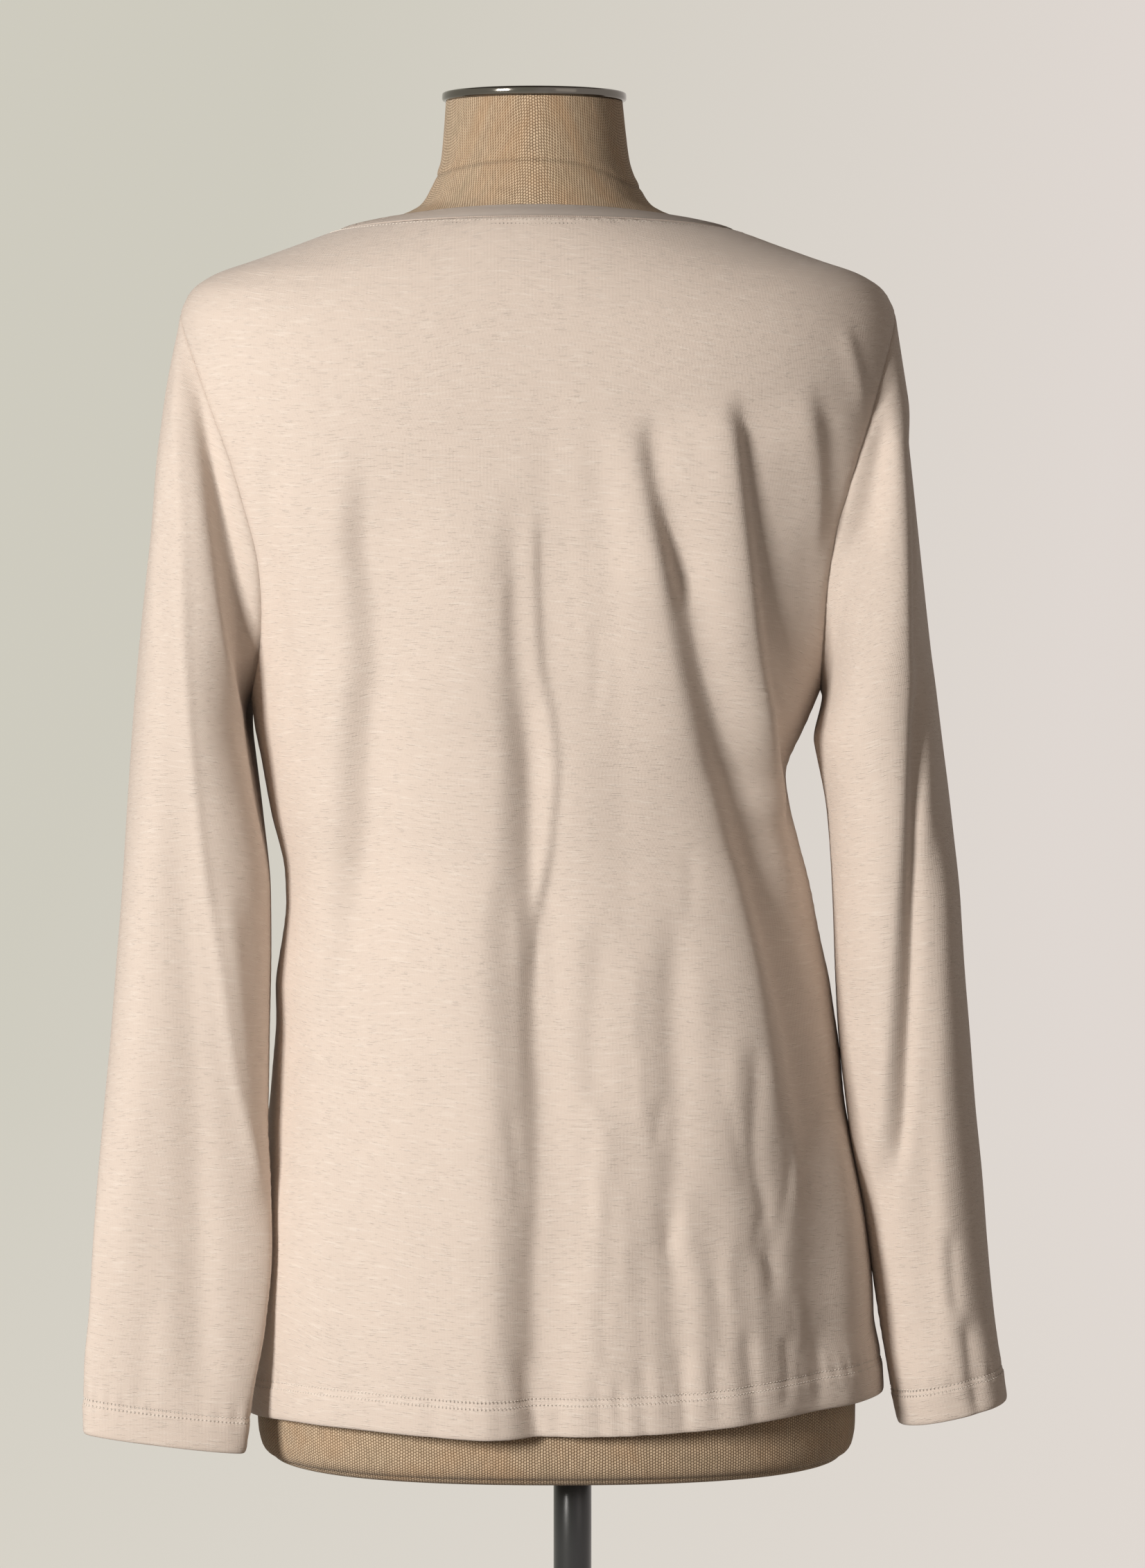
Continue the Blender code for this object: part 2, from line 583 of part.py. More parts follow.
def add_piece(name, kind, verts, faces):
    """An object from points in millimetres about the datum."""
    faces = facing_out(np.asarray(verts), faces)
    mesh = bpy.data.meshes.new(name)
    lifted = (np.asarray(verts) + (0, 0, DATUM)) * MM
    mesh.from_pydata(lifted.tolist(), [], faces)
    mesh.validate()
    mesh.shade_smooth()
    mesh.set_sharp_from_angle(angle=math.radians(50))
    mesh.materials.append(material(kind))
    piece = bpy.data.objects.new(name, mesh)
    bpy.context.scene.collection.objects.link(piece)
    return piece


def rings_solid(rings):
    """A closed solid through rings of points, with a fan to the middle at each end."""
    around = len(rings[0])
    verts = np.concatenate([*rings, [np.mean(rings[0], axis=0)], [np.mean(rings[-1], axis=0)]])
    foot, head = len(verts) - 2, len(verts) - 1
    faces = []
    for j in range(len(rings) - 1):
        for i in range(around):
            a, b = j * around + i, j * around + (i + 1) % around
            faces.extend([(a, b, b + around), (a, b + around, a + around)])
    last = (len(rings) - 1) * around
    for i in range(around):
        following = (i + 1) % around
        faces.append((following, i, foot))
        faces.append((last + i, last + following, head))
    return verts, faces


def turned(profile, middle, sides):
    """A solid turned from (radius, height) pairs about an upright line."""
    angles = np.linspace(0, 2 * math.pi, sides, endpoint=False)
    return rings_solid([np.stack([middle + radius * np.cos(angles), radius * np.sin(angles),
                                  np.full(sides, height)], axis=-1) for radius, height in profile])


def dress_form():
    angles = np.linspace(0, 2 * math.pi, FORM_AROUND, endpoint=False)
    heights = [row[0] for row in FORM_RINGS]
    return rings_solid([form_point(angles, np.full(FORM_AROUND, float(height)))
                        for height in heights])


def cap():
    low, high = FORM_TOP + FIT, FORM_TOP + FIT + CAP_HEIGHT
    profile = ((CAP_RADIUS - CAP_EDGE, low), (CAP_RADIUS, low + CAP_EDGE),
               (CAP_RADIUS, high - CAP_EDGE), (CAP_RADIUS - CAP_EDGE, high))
    return turned(profile, middle_x(FORM_TOP), FORM_AROUND)


def pole():
    low, high = BASE_HEIGHT - DATUM + FIT, FORM_BOTTOM - FIT
    return turned(((POLE_RADIUS, low), (POLE_RADIUS, high)), 0.0, POLE_AROUND)


def base():
    low, high = -DATUM, BASE_HEIGHT - DATUM
    profile = ((BASE_RADIUS, low), (BASE_RADIUS, high - BASE_EDGE), (BASE_RADIUS - BASE_EDGE, high))
    return turned(profile, 0.0, BASE_AROUND)


def build():
    for old in list(bpy.data.objects):
        bpy.data.objects.remove(old, do_unlink=True)
    add_piece("back", JERSEY, *body_panel("back", BACK_COLUMNS))
    add_piece("front", JERSEY, *body_panel("front", FRONT_COLUMNS))
    add_piece("sleeve_left", JERSEY, *sleeve("left"))
    add_piece("sleeve_right", JERSEY, *sleeve("right"))
    add_piece("neckband", JERSEY, *neckband())
    add_piece("dress_form", LINEN, *dress_form())
    add_piece("neck_cap", CHROME, *cap())
    add_piece("pole", BLACK_METAL, *pole())
    add_piece("base", BLACK_METAL, *base())


build()
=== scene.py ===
"""Looks of a long-sleeved T-shirt on a dress form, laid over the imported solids.

The shirt's back faces -Y and the wearer's left arm is at -X. Tables and sizes of the cloth are in
millimetres. Heights in them count from DATUM above the floor, a level near the form's underside.
The cloth of the body is the form's own surface, stood off by the ease of the cut and then folded.
Each fold is a path of (height, x) points with a width of its own on either side, so that one
flank can be steep and the other long.
"""

import math

import bpy
import numpy as np
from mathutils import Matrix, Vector


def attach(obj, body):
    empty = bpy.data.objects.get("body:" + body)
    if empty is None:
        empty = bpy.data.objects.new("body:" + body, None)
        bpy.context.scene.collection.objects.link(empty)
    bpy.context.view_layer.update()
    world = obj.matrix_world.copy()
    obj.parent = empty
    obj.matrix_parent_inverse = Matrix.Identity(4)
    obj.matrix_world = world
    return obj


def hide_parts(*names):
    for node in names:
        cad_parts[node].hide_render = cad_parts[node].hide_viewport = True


bl_info = {
    "name": "Long-sleeved T-shirt on a dress form",
    "version": (1, 0, 0),
    "blender": (4, 5, 0),
    "location": "3D View > Sidebar > T-shirt",
    "description": "Sews, drapes and finishes the shirt, dresses the form and sets up the studio",
    "category": "Object",
}

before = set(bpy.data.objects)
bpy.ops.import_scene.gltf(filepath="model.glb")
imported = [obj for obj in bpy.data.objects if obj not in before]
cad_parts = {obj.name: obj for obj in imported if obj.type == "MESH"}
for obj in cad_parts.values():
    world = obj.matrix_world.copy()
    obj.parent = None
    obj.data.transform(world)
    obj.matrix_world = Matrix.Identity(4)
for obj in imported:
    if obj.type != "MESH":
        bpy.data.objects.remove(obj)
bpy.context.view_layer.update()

MM = 0.001
DATUM = 400.0

# Form: half sizes of its rings, from the middle to each side, and how square the oval is
FORM_TOP = 738.0
MIDDLE_AT_BOTTOM, MIDDLE_AT_NECK, LEAN_HEIGHT = -8.6, -21.0, 741.0
FORM_COLUMNS = ("height", "side", "back", "front", "square")
FORM_RINGS = (
    (-8, 150.0, 98.0, 88.0, 2.30),
    (-5, 157.5, 105.5, 95.0, 2.30),
    (1, 163.0, 111.0, 99.5, 2.30),
    (12, 165.0, 113.0, 101.5, 2.30),
    (40, 165.5, 114.0, 102.0, 2.28),
    (80, 165.0, 114.0, 101.0, 2.25),
    (120, 161.0, 112.0, 99.0, 2.22),
    (160, 152.5, 107.0, 96.0, 2.20),
    (200, 141.5, 98.0, 92.0, 2.18),
    (250, 127.0, 85.0, 89.0, 2.15),
    (300, 117.0, 75.0, 87.0, 2.15),
    (330, 114.0, 71.0, 87.0, 2.15),
    (370, 117.0, 73.0, 91.0, 2.20),
    (410, 128.0, 79.0, 100.0, 2.28),
    (450, 142.0, 86.0, 107.0, 2.35),
    (490, 156.0, 91.0, 104.0, 2.45),
    (530, 171.0, 93.5, 94.0, 2.55),
    (565, 181.0, 93.0, 83.0, 2.55),
    (595, 186.5, 89.5, 73.0, 2.45),
    (615, 188.0, 85.5, 66.5, 2.35),
    (628, 185.0, 82.0, 63.0, 2.20),
    (638, 176.5, 78.5, 60.5, 2.10),
    (648, 156.0, 74.0, 58.0, 2.10),
    (658, 129.5, 68.5, 56.0, 2.05),
    (665, 110.5, 63.5, 54.5, 2.00),
    (671, 90.0, 58.5, 53.5, 2.00),
    (676, 74.0, 54.5, 52.5, 2.00),
    (682, 63.0, 51.5, 51.5, 2.00),
    (690, 57.8, 50.2, 50.6, 2.00),
    (698, 54.0, 49.6, 50.0, 2.00),
    (706, 51.7, 49.2, 49.6, 2.00),
    (720, 50.0, 48.9, 49.1, 2.00),
    (738, 48.4, 48.4, 48.4, 2.00),
)
BUST_HEIGHT, BUST_APART, BUST_REACH, BUST_SIZE = 452.0, 74.0, 56.0, 13.0
NECK_SEAM, FOOT_SEAM = 703.0, -4.5  # heights of the cover's seams
# The neck's seam falls to each side of the middle of the back, further on the right
NECK_SEAM_HALF, NECK_SEAM_BEND = 52.0, 2.4
NECK_SEAM_FALL = {"right": 12.0, "left": 5.5}
NECK_GROOVE, FOOT_GROOVE = 0.55, 0.8  # how deep the two seams lie
COVER_ROLL = 0.3  # how far the linen swells beside them
FOOT_HEIGHTS = (-8, -7.4, -6.6, -6, -5.5, -5, -4.4, -3.6, -2.4, -1, 1, 4, 8)
NECK_STARTS, NECK_STEP = 680, 1.1  # the rings lie closer together from here up

# Ease: how far the middle of the cloth stands off the form, on each side of the body
EASE_COLUMNS = ("height", "left", "right", "back", "front")
EASE = (
    (0, 4.0, 14.0, 14.0, 16.0),
    (25, 4.0, 14.5, 13.5, 16.0),
    (50, 3.5, 13.5, 12.5, 16.0),
    (72, 3.5, 10.5, 11.5, 16.0),
    (100, 3.5, 11.0, 9.5, 16.0),
    (136, 4.0, 12.0, 9.0, 16.0),
    (177, 8.5, 15.0, 10.5, 16.5),
    (223, 17.0, 24.0, 14.0, 18.5),
    (255, 24.5, 28.0, 18.0, 21.0),
    (292, 26.0, 28.5, 21.5, 23.0),
    (310, 28.5, 27.5, 22.4, 23.5),
    (331, 32.5, 24.5, 22.8, 23.0),
    (353, 36.0, 19.0, 22.0, 21.0),
    (374, 37.0, 15.0, 20.4, 17.0),
    (398, 35.0, 18.0, 17.0, 11.0),
    (422, 30.5, 20.5, 13.5, 6.5),
    (450, 24.0, 21.5, 9.5, 3.0),
    (490, 19.0, 18.5, 5.5, 3.0),
    (530, 14.0, 14.0, 3.4, 3.0),
    (565, 12.0, 12.0, 2.6, 2.6),
    (595, 10.5, 10.5, 2.4, 2.6),
    (618, 8.5, 8.5, 2.2, 2.6),
    (630, 7.0, 7.0, 2.0, 2.4),
    (641, 4.0, 4.0, 1.9, 2.0),
    (652, 1.9, 1.9, 1.8, 1.8),
    (700, 1.6, 1.6, 1.6, 1.6),
)
LEAST_EASE = 1.4  # keeps the inside of the cloth clear of the form
VALLEY_SOFTNESS = 0.35  # how gently a valley flattens out on the form, as a part of its depth

# Cut: neckline, armholes and hem
SEAM_GAP = 0.16
NECK_SIDE, NECK_BACK, NECK_FRONT, NECK_HALF, NECK_ROUND = 665.8, 671.2, 583.0, 110.0, 1.2
SLEEVE_FIT, ARMHOLE_TURN = 0.12, 0.4
ARMHOLE_TOP, ARMHOLE_BOTTOM = 621.0, 422.5
ARMHOLE_DEPTH = {("left", "back"): 54.0, ("right", "back"): 49.0,
                 ("left", "front"): 55.0, ("right", "front"): 55.0}
HEM_COLUMNS = ("angle", "height")
HEM = ((0, 29), (30, 27), (90, 24), (150, 20), (180, 18), (200, 21), (225, 24),
       (262, 22), (290, 24), (315, 29), (335, 31), (360, 29))
CROWD = 0.85  # brings the front's columns closer together beside the shoulders

# Folds of the body: path of (height, x), width left and right of it, lift, fade at both ends
BACK_FOLDS = (
    # the outer fold that hangs from the right shoulder blade, a ridge and the valley beyond it
    (((566, 79), (557, 82), (527, 86), (498, 89.5), (468, 93), (439, 97), (409, 101), (380, 105),
      (350, 109)), 20, 7.5, 5.2, 26),
    (((566, 91), (557, 93), (527, 97), (498, 101), (468, 105), (439, 109), (409, 113), (380, 116),
      (350, 119)), 5, 17, -3.8, 26),
    (((425, 99), (409, 102), (380, 105), (350, 109), (321, 114), (300, 117)), 12, 8, 3.0, 40),
    (((548, 128), (510, 127), (470, 126), (430, 125)), 24, 12, -4.0, 44),
    # the inner fold: sharp where it begins, wider below
    (((556, 30), (527, 35), (498, 42), (470, 49)), 16, 6.5, 3.0, 26),
    (((556, 42), (527, 45.5), (498, 53), (470, 60)), 4.5, 9, -2.6, 26),
    (((510, 38), (468, 46), (439, 51), (409, 58), (380, 65), (350, 73), (321, 80), (291, 88),
      (262, 94), (232, 98), (203, 102), (180, 105)), 26, 11, 5.2, 60),
    (((510, 54), (468, 63), (439, 69), (409, 76), (380, 83), (350, 91), (321, 98), (291, 105),
      (262, 113), (232, 121), (203, 126), (180, 129)), 9.5, 16, -5.0, 60),
    # beside the right armhole
    (((572, 125), (556, 129), (540, 131.5), (520, 132.5), (500, 132)), 11, 5, 2.6, 28),
    (((570, 136), (540, 141), (505, 142)), 6, 8, -1.7, 28),
    (((608, 147), (590, 152.5), (572, 157)), 6, 3, 1.6, 14),
    (((446, 106), (430, 111), (414, 118), (400, 124)), 4, 5, 1.2, 14),
    # right side, down to the hem
    (((300, 112), (271, 116), (234, 124), (184, 130), (130, 132), (54, 130), (-20, 130)), 12, 16, -3.4, 70),
    (((250, 140), (180, 147), (90, 150), (-20, 150)), 8, 12, 2.0, 60),
    (((376, 122), (340, 131), (290, 139), (240, 146)), 4, 5, 0.9, 40),
    (((230, 84), (180, 86), (120, 86), (50, 86), (-20, 86)), 9, 13, 1.4, 50),
    # middle: the left half stands proud and steps down to the right in one long soft flank
    (((500, -42), (439, -42), (409, -41), (380, -40), (350, -42), (321, -44), (291, -48), (262, -48),
      (232, -47), (203, -44), (143, -43), (84, -43), (-30, -42)), 34, 12, 3.4, 70),
    (((500, -29), (468, -29), (439, -28), (409, -26), (380, -23), (350, -22), (321, -21), (291, -20),
      (262, -19.5), (232, -19.5), (203, -17), (143, -16), (114, -18), (84, -19), (-30, -18)),
     11, 40, -3.6, 70),
    (((310, -50), (262, -50), (203, -47), (143, -46), (84, -45), (-30, -44)), 20, 13, 1.6, 50),
    (((310, -17), (262, -17), (203, -15), (143, -14), (84, -16), (-30, -16)), 13, 22, -1.8, 50),
    (((410, -25), (380, -22), (350, -21), (321, -21), (291, -20), (262, -19.5), (232, -19.5),
      (203, -17), (143, -16), (114, -18), (84, -19), (-30, -18)), 7, 14, -2.8, 60),
    # the S-shaped crease that joins it from above
    (((506, -21), (486, -21), (468, -20.5), (439, -19), (424, -16.5), (409, -13), (380, -10),
      (350, -12), (321, -15), (291, -22), (268, -24)), 9, 2.8, 2.2, 30),
    (((330, -16), (300, -17), (271, -15), (240, -14)), 3, 3, 0.5, 20),
    (((300, -30), (238, -28), (205, -28)), 4, 3, 0.6, 25),
    (((190, -33), (172, -31), (160, -29), (146, -28)), 3.5, 3, -0.9, 12),
    (((178, -42), (160, -39), (146, -38)), 3, 3, -0.5, 12),
    (((480, -36), (455, -37.5), (430, -36)), 3.5, 3, 0.7, 14),
    # soft ripples between the shoulder blades
    (((566, -12), (500, -15), (430, -9)), 7, 6, -0.4, 40),
    (((560, 3), (500, 4), (430, 9)), 6, 6, 0.4, 40),
    (((545, 16), (480, 20), (400, 24)), 7, 7, -0.4, 40),
    (((400, 22), (350, 26), (300, 29), (262, 28)), 12, 10, -0.8, 50),
    # left side
    (((527, -109), (498, -110), (468, -106), (439, -105), (409, -109), (380, -111), (350, -112),
      (321, -114), (291, -118), (262, -124), (232, -128)), 10, 34, -4.6, 60),
    (((527, -124), (498, -125), (468, -122), (439, -121), (409, -125), (380, -127), (350, -128),
      (321, -130), (291, -134)), 14, 9, 2.2, 60),
    (((430, -107), (409, -109), (380, -111), (350, -112), (321, -115), (300, -118)), 8, 14, -1.6, 50),
    (((540, -152), (466, -146), (387, -142), (270, -137), (100, -136), (-20, -136)), 12, 15, 1.6, 80),
    (((540, -160), (500, -162), (466, -157), (420, -150), (386, -148)), 6, 7, -1.8, 40),
    (((480, -88), (400, -84), (260, -84), (100, -86), (-20, -84)), 22, 30, 1.4, 90),
    # soft folds and small creases of the lower right
    (((282, 55), (232, 54), (203, 55), (173, 55), (143, 53), (114, 52), (84, 54), (30, 56)),
     9, 9, -2.6, 44),
    (((286, 15), (262, 14), (232, 11), (203, 13), (190, 16)), 7, 9, -1.4, 26),
    (((196, 13), (173, 17), (143, 15), (114, 12), (84, 13), (40, 14)), 6, 8, 1.3, 26),
    (((216, 95), (203, 96), (173, 96), (158, 98), (143, 102), (114, 106), (96, 108)), 4.5, 5, -1.8, 18),
    (((196, 48), (186, 46), (174, 45)), 3, 3, -1.0, 9),
    (((268, 33), (247, 33), (222, 32)), 5, 4, 0.6, 16),
    (((222, 36), (205, 36), (186, 37)), 4, 3, 0.6, 12),
    (((140, 50), (122, 52), (104, 56)), 4, 4, -1.1, 14),
    (((150, 60), (132, 60), (112, 59)), 4, 4, 0.7, 14),
    (((96, 15), (78, 16), (60, 18)), 3.5, 3, -0.9, 12),
    (((222, 84), (203, 84), (184, 86)), 5, 4, 0.6, 12),
    (((168, 118), (150, 116), (132, 112), (118, 110)), 3, 4, -0.8, 12),
    (((182, 119), (164, 120), (140, 121)), 3, 4, 0.7, 14),
    (((130, 42), (104, 38), (74, 37), (44, 41)), 7, 6, -0.9, 24),
    (((126, 64), (90, 68), (44, 68)), 6, 5, 0.9, 22),
    (((110, 98), (80, 100), (50, 101)), 5, 5, 0.9, 20),
    (((256, 68), (200, 73), (146, 77)), 8, 7, 0.8, 26),
    (((110, 3), (70, 5), (34, 5)), 5, 5, 0.6, 18),
    (((150, 27), (110, 27), (70, 29)), 5, 5, 0.7, 20),
    # puckers where the hem's stitches hold
    (((62, -41), (40, -39), (18, -40)), 3, 4, -1.0, 13),
    (((64, -27), (40, -24), (22, -18)), 4, 4, -2.0, 14),
    (((50, -8), (36, -7), (18, -8)), 3, 3.5, -0.8, 10),
    (((56, 13), (40, 14), (20, 15)), 3, 4, -1.3, 12),
    (((50, 25), (38, 25), (24, 26)), 3, 3, -1.1, 10),
    (((60, 37), (40, 37), (20, 39)), 3, 4, -1.3, 12),
    (((68, 58), (44, 60), (24, 60)), 3.5, 4, -1.5, 13),
    (((62, 76), (44, 77), (30, 78)), 3, 3.5, -1.2, 11),
    (((74, 93), (50, 95), (28, 97)), 4, 4, -1.6, 13),
    (((70, 114), (54, 115), (36, 114)), 3, 4, -1.4, 11),
    (((70, 133), (52, 134), (34, 134)), 3, 4, -1.3, 12),
    (((54, -73), (38, -73), (20, -74)), 4, 4, -0.8, 12),
    # short creases above them
    (((142, 57), (130, 53.5), (118, 49.5)), 2.5, 3, -0.9, 8),
    (((134, 99), (121, 98), (109, 106)), 2.5, 3, -0.9, 8),
    (((192, 83), (172, 87), (151, 92)), 3, 3.5, -0.7, 12),
    (((166, 10), (150, 13), (134, 15)), 3, 3, 0.7, 10),
    (((104, 76), (84, 79), (68, 80)), 3, 3.5, -0.7, 10),
    (((98, 28), (82, 28), (70, 26)), 3, 3, -0.6, 9),
    (((122, 84), (106, 82), (92, 84)), 3, 3, 0.6, 9),
    (((90, 122), (76, 124), (64, 123)), 3, 3, 0.7, 9),
    (((330, 60), (312, 62), (294, 62)), 3, 4, -0.5, 12),
    (((452, 12), (430, 13), (410, 12)), 3, 4, -0.5, 12),
)
FRONT_FOLDS = (
    (((440, 74), (300, 82), (160, 88), (-20, 92)), 26, 12, 7.0, 90),
    (((430, 50), (300, 54), (160, 52), (-20, 50)), 14, 20, -7.5, 90),
    (((410, 4), (280, 8), (140, 10), (-20, 12)), 20, 12, 5.0, 80),
    (((430, -36), (300, -42), (160, -40), (-20, -44)), 18, 12, -7.5, 90),
    (((440, -76), (300, -80), (160, -88), (-20, -90)), 14, 24, 6.5, 90),
    (((400, 120), (260, 126), (120, 128), (-20, 130)), 12, 10, -5.0, 80),
    (((400, -120), (260, -124), (120, -124), (-20, -126)), 10, 12, -5.0, 80),
    (((600, 128), (540, 124), (470, 118)), 7, 12, 3.2, 40),
    (((600, -160), (540, -156), (470, -148)), 12, 7, 3.2, 40),
    (((560, 104), (500, 98), (450, 88)), 6, 9, -1.8, 40),
    (((560, -136), (500, -128), (450, -118)), 9, 6, -1.8, 40),
    (((340, 30), (300, 28), (250, 31), (210, 30)), 4, 6, -1.8, 30),
    (((280, -14), (220, -18), (160, -16)), 5, 4, 1.8, 30),
    (((250, 100), (200, 104), (150, 103)), 4, 5, -1.8, 24),
    (((300, -100), (240, -104), (190, -101)), 5, 4, 1.8, 26),
    (((150, -60), (110, -63), (60, -62)), 5, 5, -1.8, 24),
    (((140, 66), (100, 70), (56, 69)), 5, 5, 1.8, 22),
    (((62, -20), (40, -20), (16, -20)), 5, 5, -2.2, 13),
    (((62, 34), (40, 34), (16, 34)), 5, 5, -1.8, 13),
    (((62, 96), (40, 96), (16, 96)), 6, 5, -2.2, 13),
    (((60, -96), (40, -96), (14, -97)), 5, 6, -2.2, 13),
)

# Sleeves below the underarm: inner and outer edges, middle from back to front, half depth,
# how square the ring is, and how much higher its outer edge hangs
SLEEVE_COLUMNS = ("height", "inner", "outer", "middle", "depth", "square", "rise")
SLEEVE_RINGS = {
    "right": (
        (387, 133.5, 202.5, -6.0, 60.0, 2.2, 2.0),
        (350, 140.5, 207.0, -8.0, 56.0, 2.2, 2.5),
        (306, 143.5, 210.5, -10.0, 50.0, 2.2, 3.0),
        (262, 145.0, 214.0, -12.0, 46.0, 2.2, 3.5),
        (231, 146.6, 217.0, -12.0, 44.0, 2.2, 4.0),
        (185, 152.0, 221.0, -10.0, 41.0, 2.2, 5.0),
        (147, 158.2, 225.0, -9.0, 38.5, 2.2, 6.0),
        (108, 164.2, 228.0, -10.0, 36.5, 2.2, 7.5),
        (70, 170.0, 231.5, -13.0, 35.0, 2.2, 9.0),
        (42, 175.0, 235.0, -18.0, 34.0, 2.2, 11.0),
        (20, 180.0, 238.0, -18.0, 33.0, 2.2, 13.0),
    ),
    "left": (
        (387, -177.0, -241.0, -12.0, 60.0, 2.2, 2.0),
        (350, -171.0, -243.5, -14.0, 52.0, 2.2, 2.5),
        (306, -166.0, -246.0, -18.0, 44.0, 2.2, 3.0),
        (270, -165.5, -248.5, -24.0, 40.0, 2.2, 3.5),
        (226, -166.0, -251.5, -33.0, 35.0, 2.2, 4.0),
        (188, -166.0, -254.5, -42.0, 28.0, 2.2, 5.0),
        (154, -164.0, -257.0, -51.0, 21.0, 2.2, 6.0),
        (118, -162.5, -259.0, -62.0, 14.0, 2.2, 7.5),
        (77, -166.0, -261.0, -68.0, 12.5, 2.2, 9.0),
        (44, -172.0, -263.5, -72.0, 12.0, 2.2, 10.0),
        (11, -177.0, -263.0, -75.0, 12.0, 2.2, 10.5),
    ),
}
# The way a sleeve leaves its armhole: sideways, down, and out to the back or the front
LEAVE_OUT = {"top": 0.12, "back": 0.72, "foot": 0.42}
LEAVE_DOWN = {"top": 0.99, "back": 0.62, "foot": 0.80}
LEAVE_BULGE = 0.2
FOLDS_BEGIN = 16.0  # the sleeve's folds grow to their full size this far from the armhole
# Folds on the back of each sleeve, in the columns of the body's folds
SLEEVE_BACK_FOLDS = {
    "right": (
        (((560, 172), (532, 175), (477, 177), (417, 178), (380, 177), (343, 176), (306, 174), (269, 172),
          (232, 170.5), (210, 169), (188, 168), (150, 163)), 20, 6, 4.2, 60),
        (((560, 186), (477, 187), (430, 187)), 5, 12, -4.0, 34),
        (((417, 187), (380, 185.5), (343, 184.5), (306, 184), (269, 183.5), (232, 182), (210, 181),
          (188, 180), (158, 176.5)), 5, 4.5, -4.2, 34),
        (((405, 190), (375, 189.5), (335, 189)), 4, 7, 1.6, 24),
        # where the sleeve falls away from the back, beside the armhole
        (((560, 166), (540, 164), (520, 162.5), (496, 160)), 13, 7, -6.0, 26),
        (((330, 200), (240, 200), (150, 202), (60, 206)), 8, 14, 4.0, 60),
        (((118, 205), (98, 206), (80, 208)), 4, 4, -1.8, 12),
        (((70, 214), (43, 218), (24, 221)), 4, 5, -2.4, 14),
        (((250, 160), (190, 164), (130, 170)), 8, 6, -1.8, 40),
    ),
    "left": (
        (((600, -208), (575, -205), (540, -202), (500, -198), (455, -192), (410, -185), (385, -182),
          (350, -176), (310, -168)), 16, 5, 4.0, 60),
        (((600, -198), (560, -194), (500, -184), (455, -177), (410, -170), (370, -165),
          (330, -160)), 9, 16, -8.0, 60),
        (((593, -211), (554, -212.5), (500, -210.5), (447, -209), (407, -207), (327, -200),
          (267, -191), (212, -184), (157, -171)), 3.0, 3.0, 1.4, 30),
        (((520, -222), (400, -219), (320, -212), (250, -206), (150, -202), (40, -200)), 12, 10, -3.2, 60),
        (((300, -186), (212, -179), (150, -172)), 8, 6, 2.4, 40),
        (((90, -228), (60, -230), (34, -231)), 7, 7, -1.0, 20),
        (((330, -232), (220, -236), (110, -240)), 12, 10, 1.6, 60),
    ),
}
# Folds on the hidden front of the sleeves
SLEEVE_FRONT_FOLDS = {
    "right": (
        (((470, 178), (380, 180), (280, 182), (160, 190)), 8, 16, -6.0, 70),
        (((480, 160), (400, 160), (300, 162), (200, 168)), 14, 7, 3.5, 60),
        (((230, 206), (160, 210), (90, 214)), 6, 8, 2.4, 40),
    ),
    "left": (
        (((470, -205), (380, -208), (280, -208), (160, -210)), 16, 8, -6.0, 70),
        (((480, -184), (400, -184), (300, -184), (200, -184)), 7, 14, 3.5, 60),
        (((230, -232), (160, -236), (90, -238)), 8, 6, 2.0, 40),
    ),
}

# Fineness of the meshes
BACK_COLUMNS, FRONT_COLUMNS = 172, 140
SKIRT_ROWS, ARMHOLE_ROWS, SHOULDER_ROWS = 104, 60, 34
CAP_ROWS, SLEEVE_ROWS = 52, 104
SLEEVE_AROUND, CAP_CROWD = 132, 1.3
SEAM_TURNS = (-3.6, -2.2, -1.3, -0.6, 0.0, 0.6, 1.3, 2.2, 3.6)  # by the underarm seam, in degrees
EDGE_PULL = 3
BAND_SECTION, FORM_AROUND, FORM_STEP = 18, 200, 3.6

# Sewing
SEAM_TUCK, SEAM_TUCK_WIDTH = 0.75, 2.4  # how far the cloth sinks into a seam, and over what
PUCKER, PUCKER_PITCH, PUCKER_PLACE, PUCKER_WIDTH = 0.22, 6.5, 2.6, 3.0  # beside a seam
SLEEVE_UNDER = 0.6  # how far the sleeve's edge reaches under the panels
SIDE_SHADE, NECK_SHADE, SLEEVE_SHADE = 2.0, 1.6, 1.8  # how wide the painted shade along each seam is
HEM_SWELL = 0.45  # the turned-up layer stands the hem off
HEM_DOUBLED = 0.8  # how much thicker the two layers are
HEM_GROOVE, HEM_RIDGE = 0.34, 0.16  # under each row of stitches, and between the two rows
HEM_PUCKER, HEM_PUCKER_PITCH = 0.42, 8.2
NECK_ROW_GROOVE = 0.22  # under the neckline's row of stitches
LEAST_CUT = 0.0101  # metres: the folded neckband is stated by what shows of it, up to its fold
BAND_FIT, BAND_ARCH = 0.15, 0.35  # the band's gap at its seam, and how far its middle stands up
BAND_SINK, BAND_WAVE, BAND_WAVE_PITCH = 0.5, 0.05, 9.0  # at its seam, and all along it
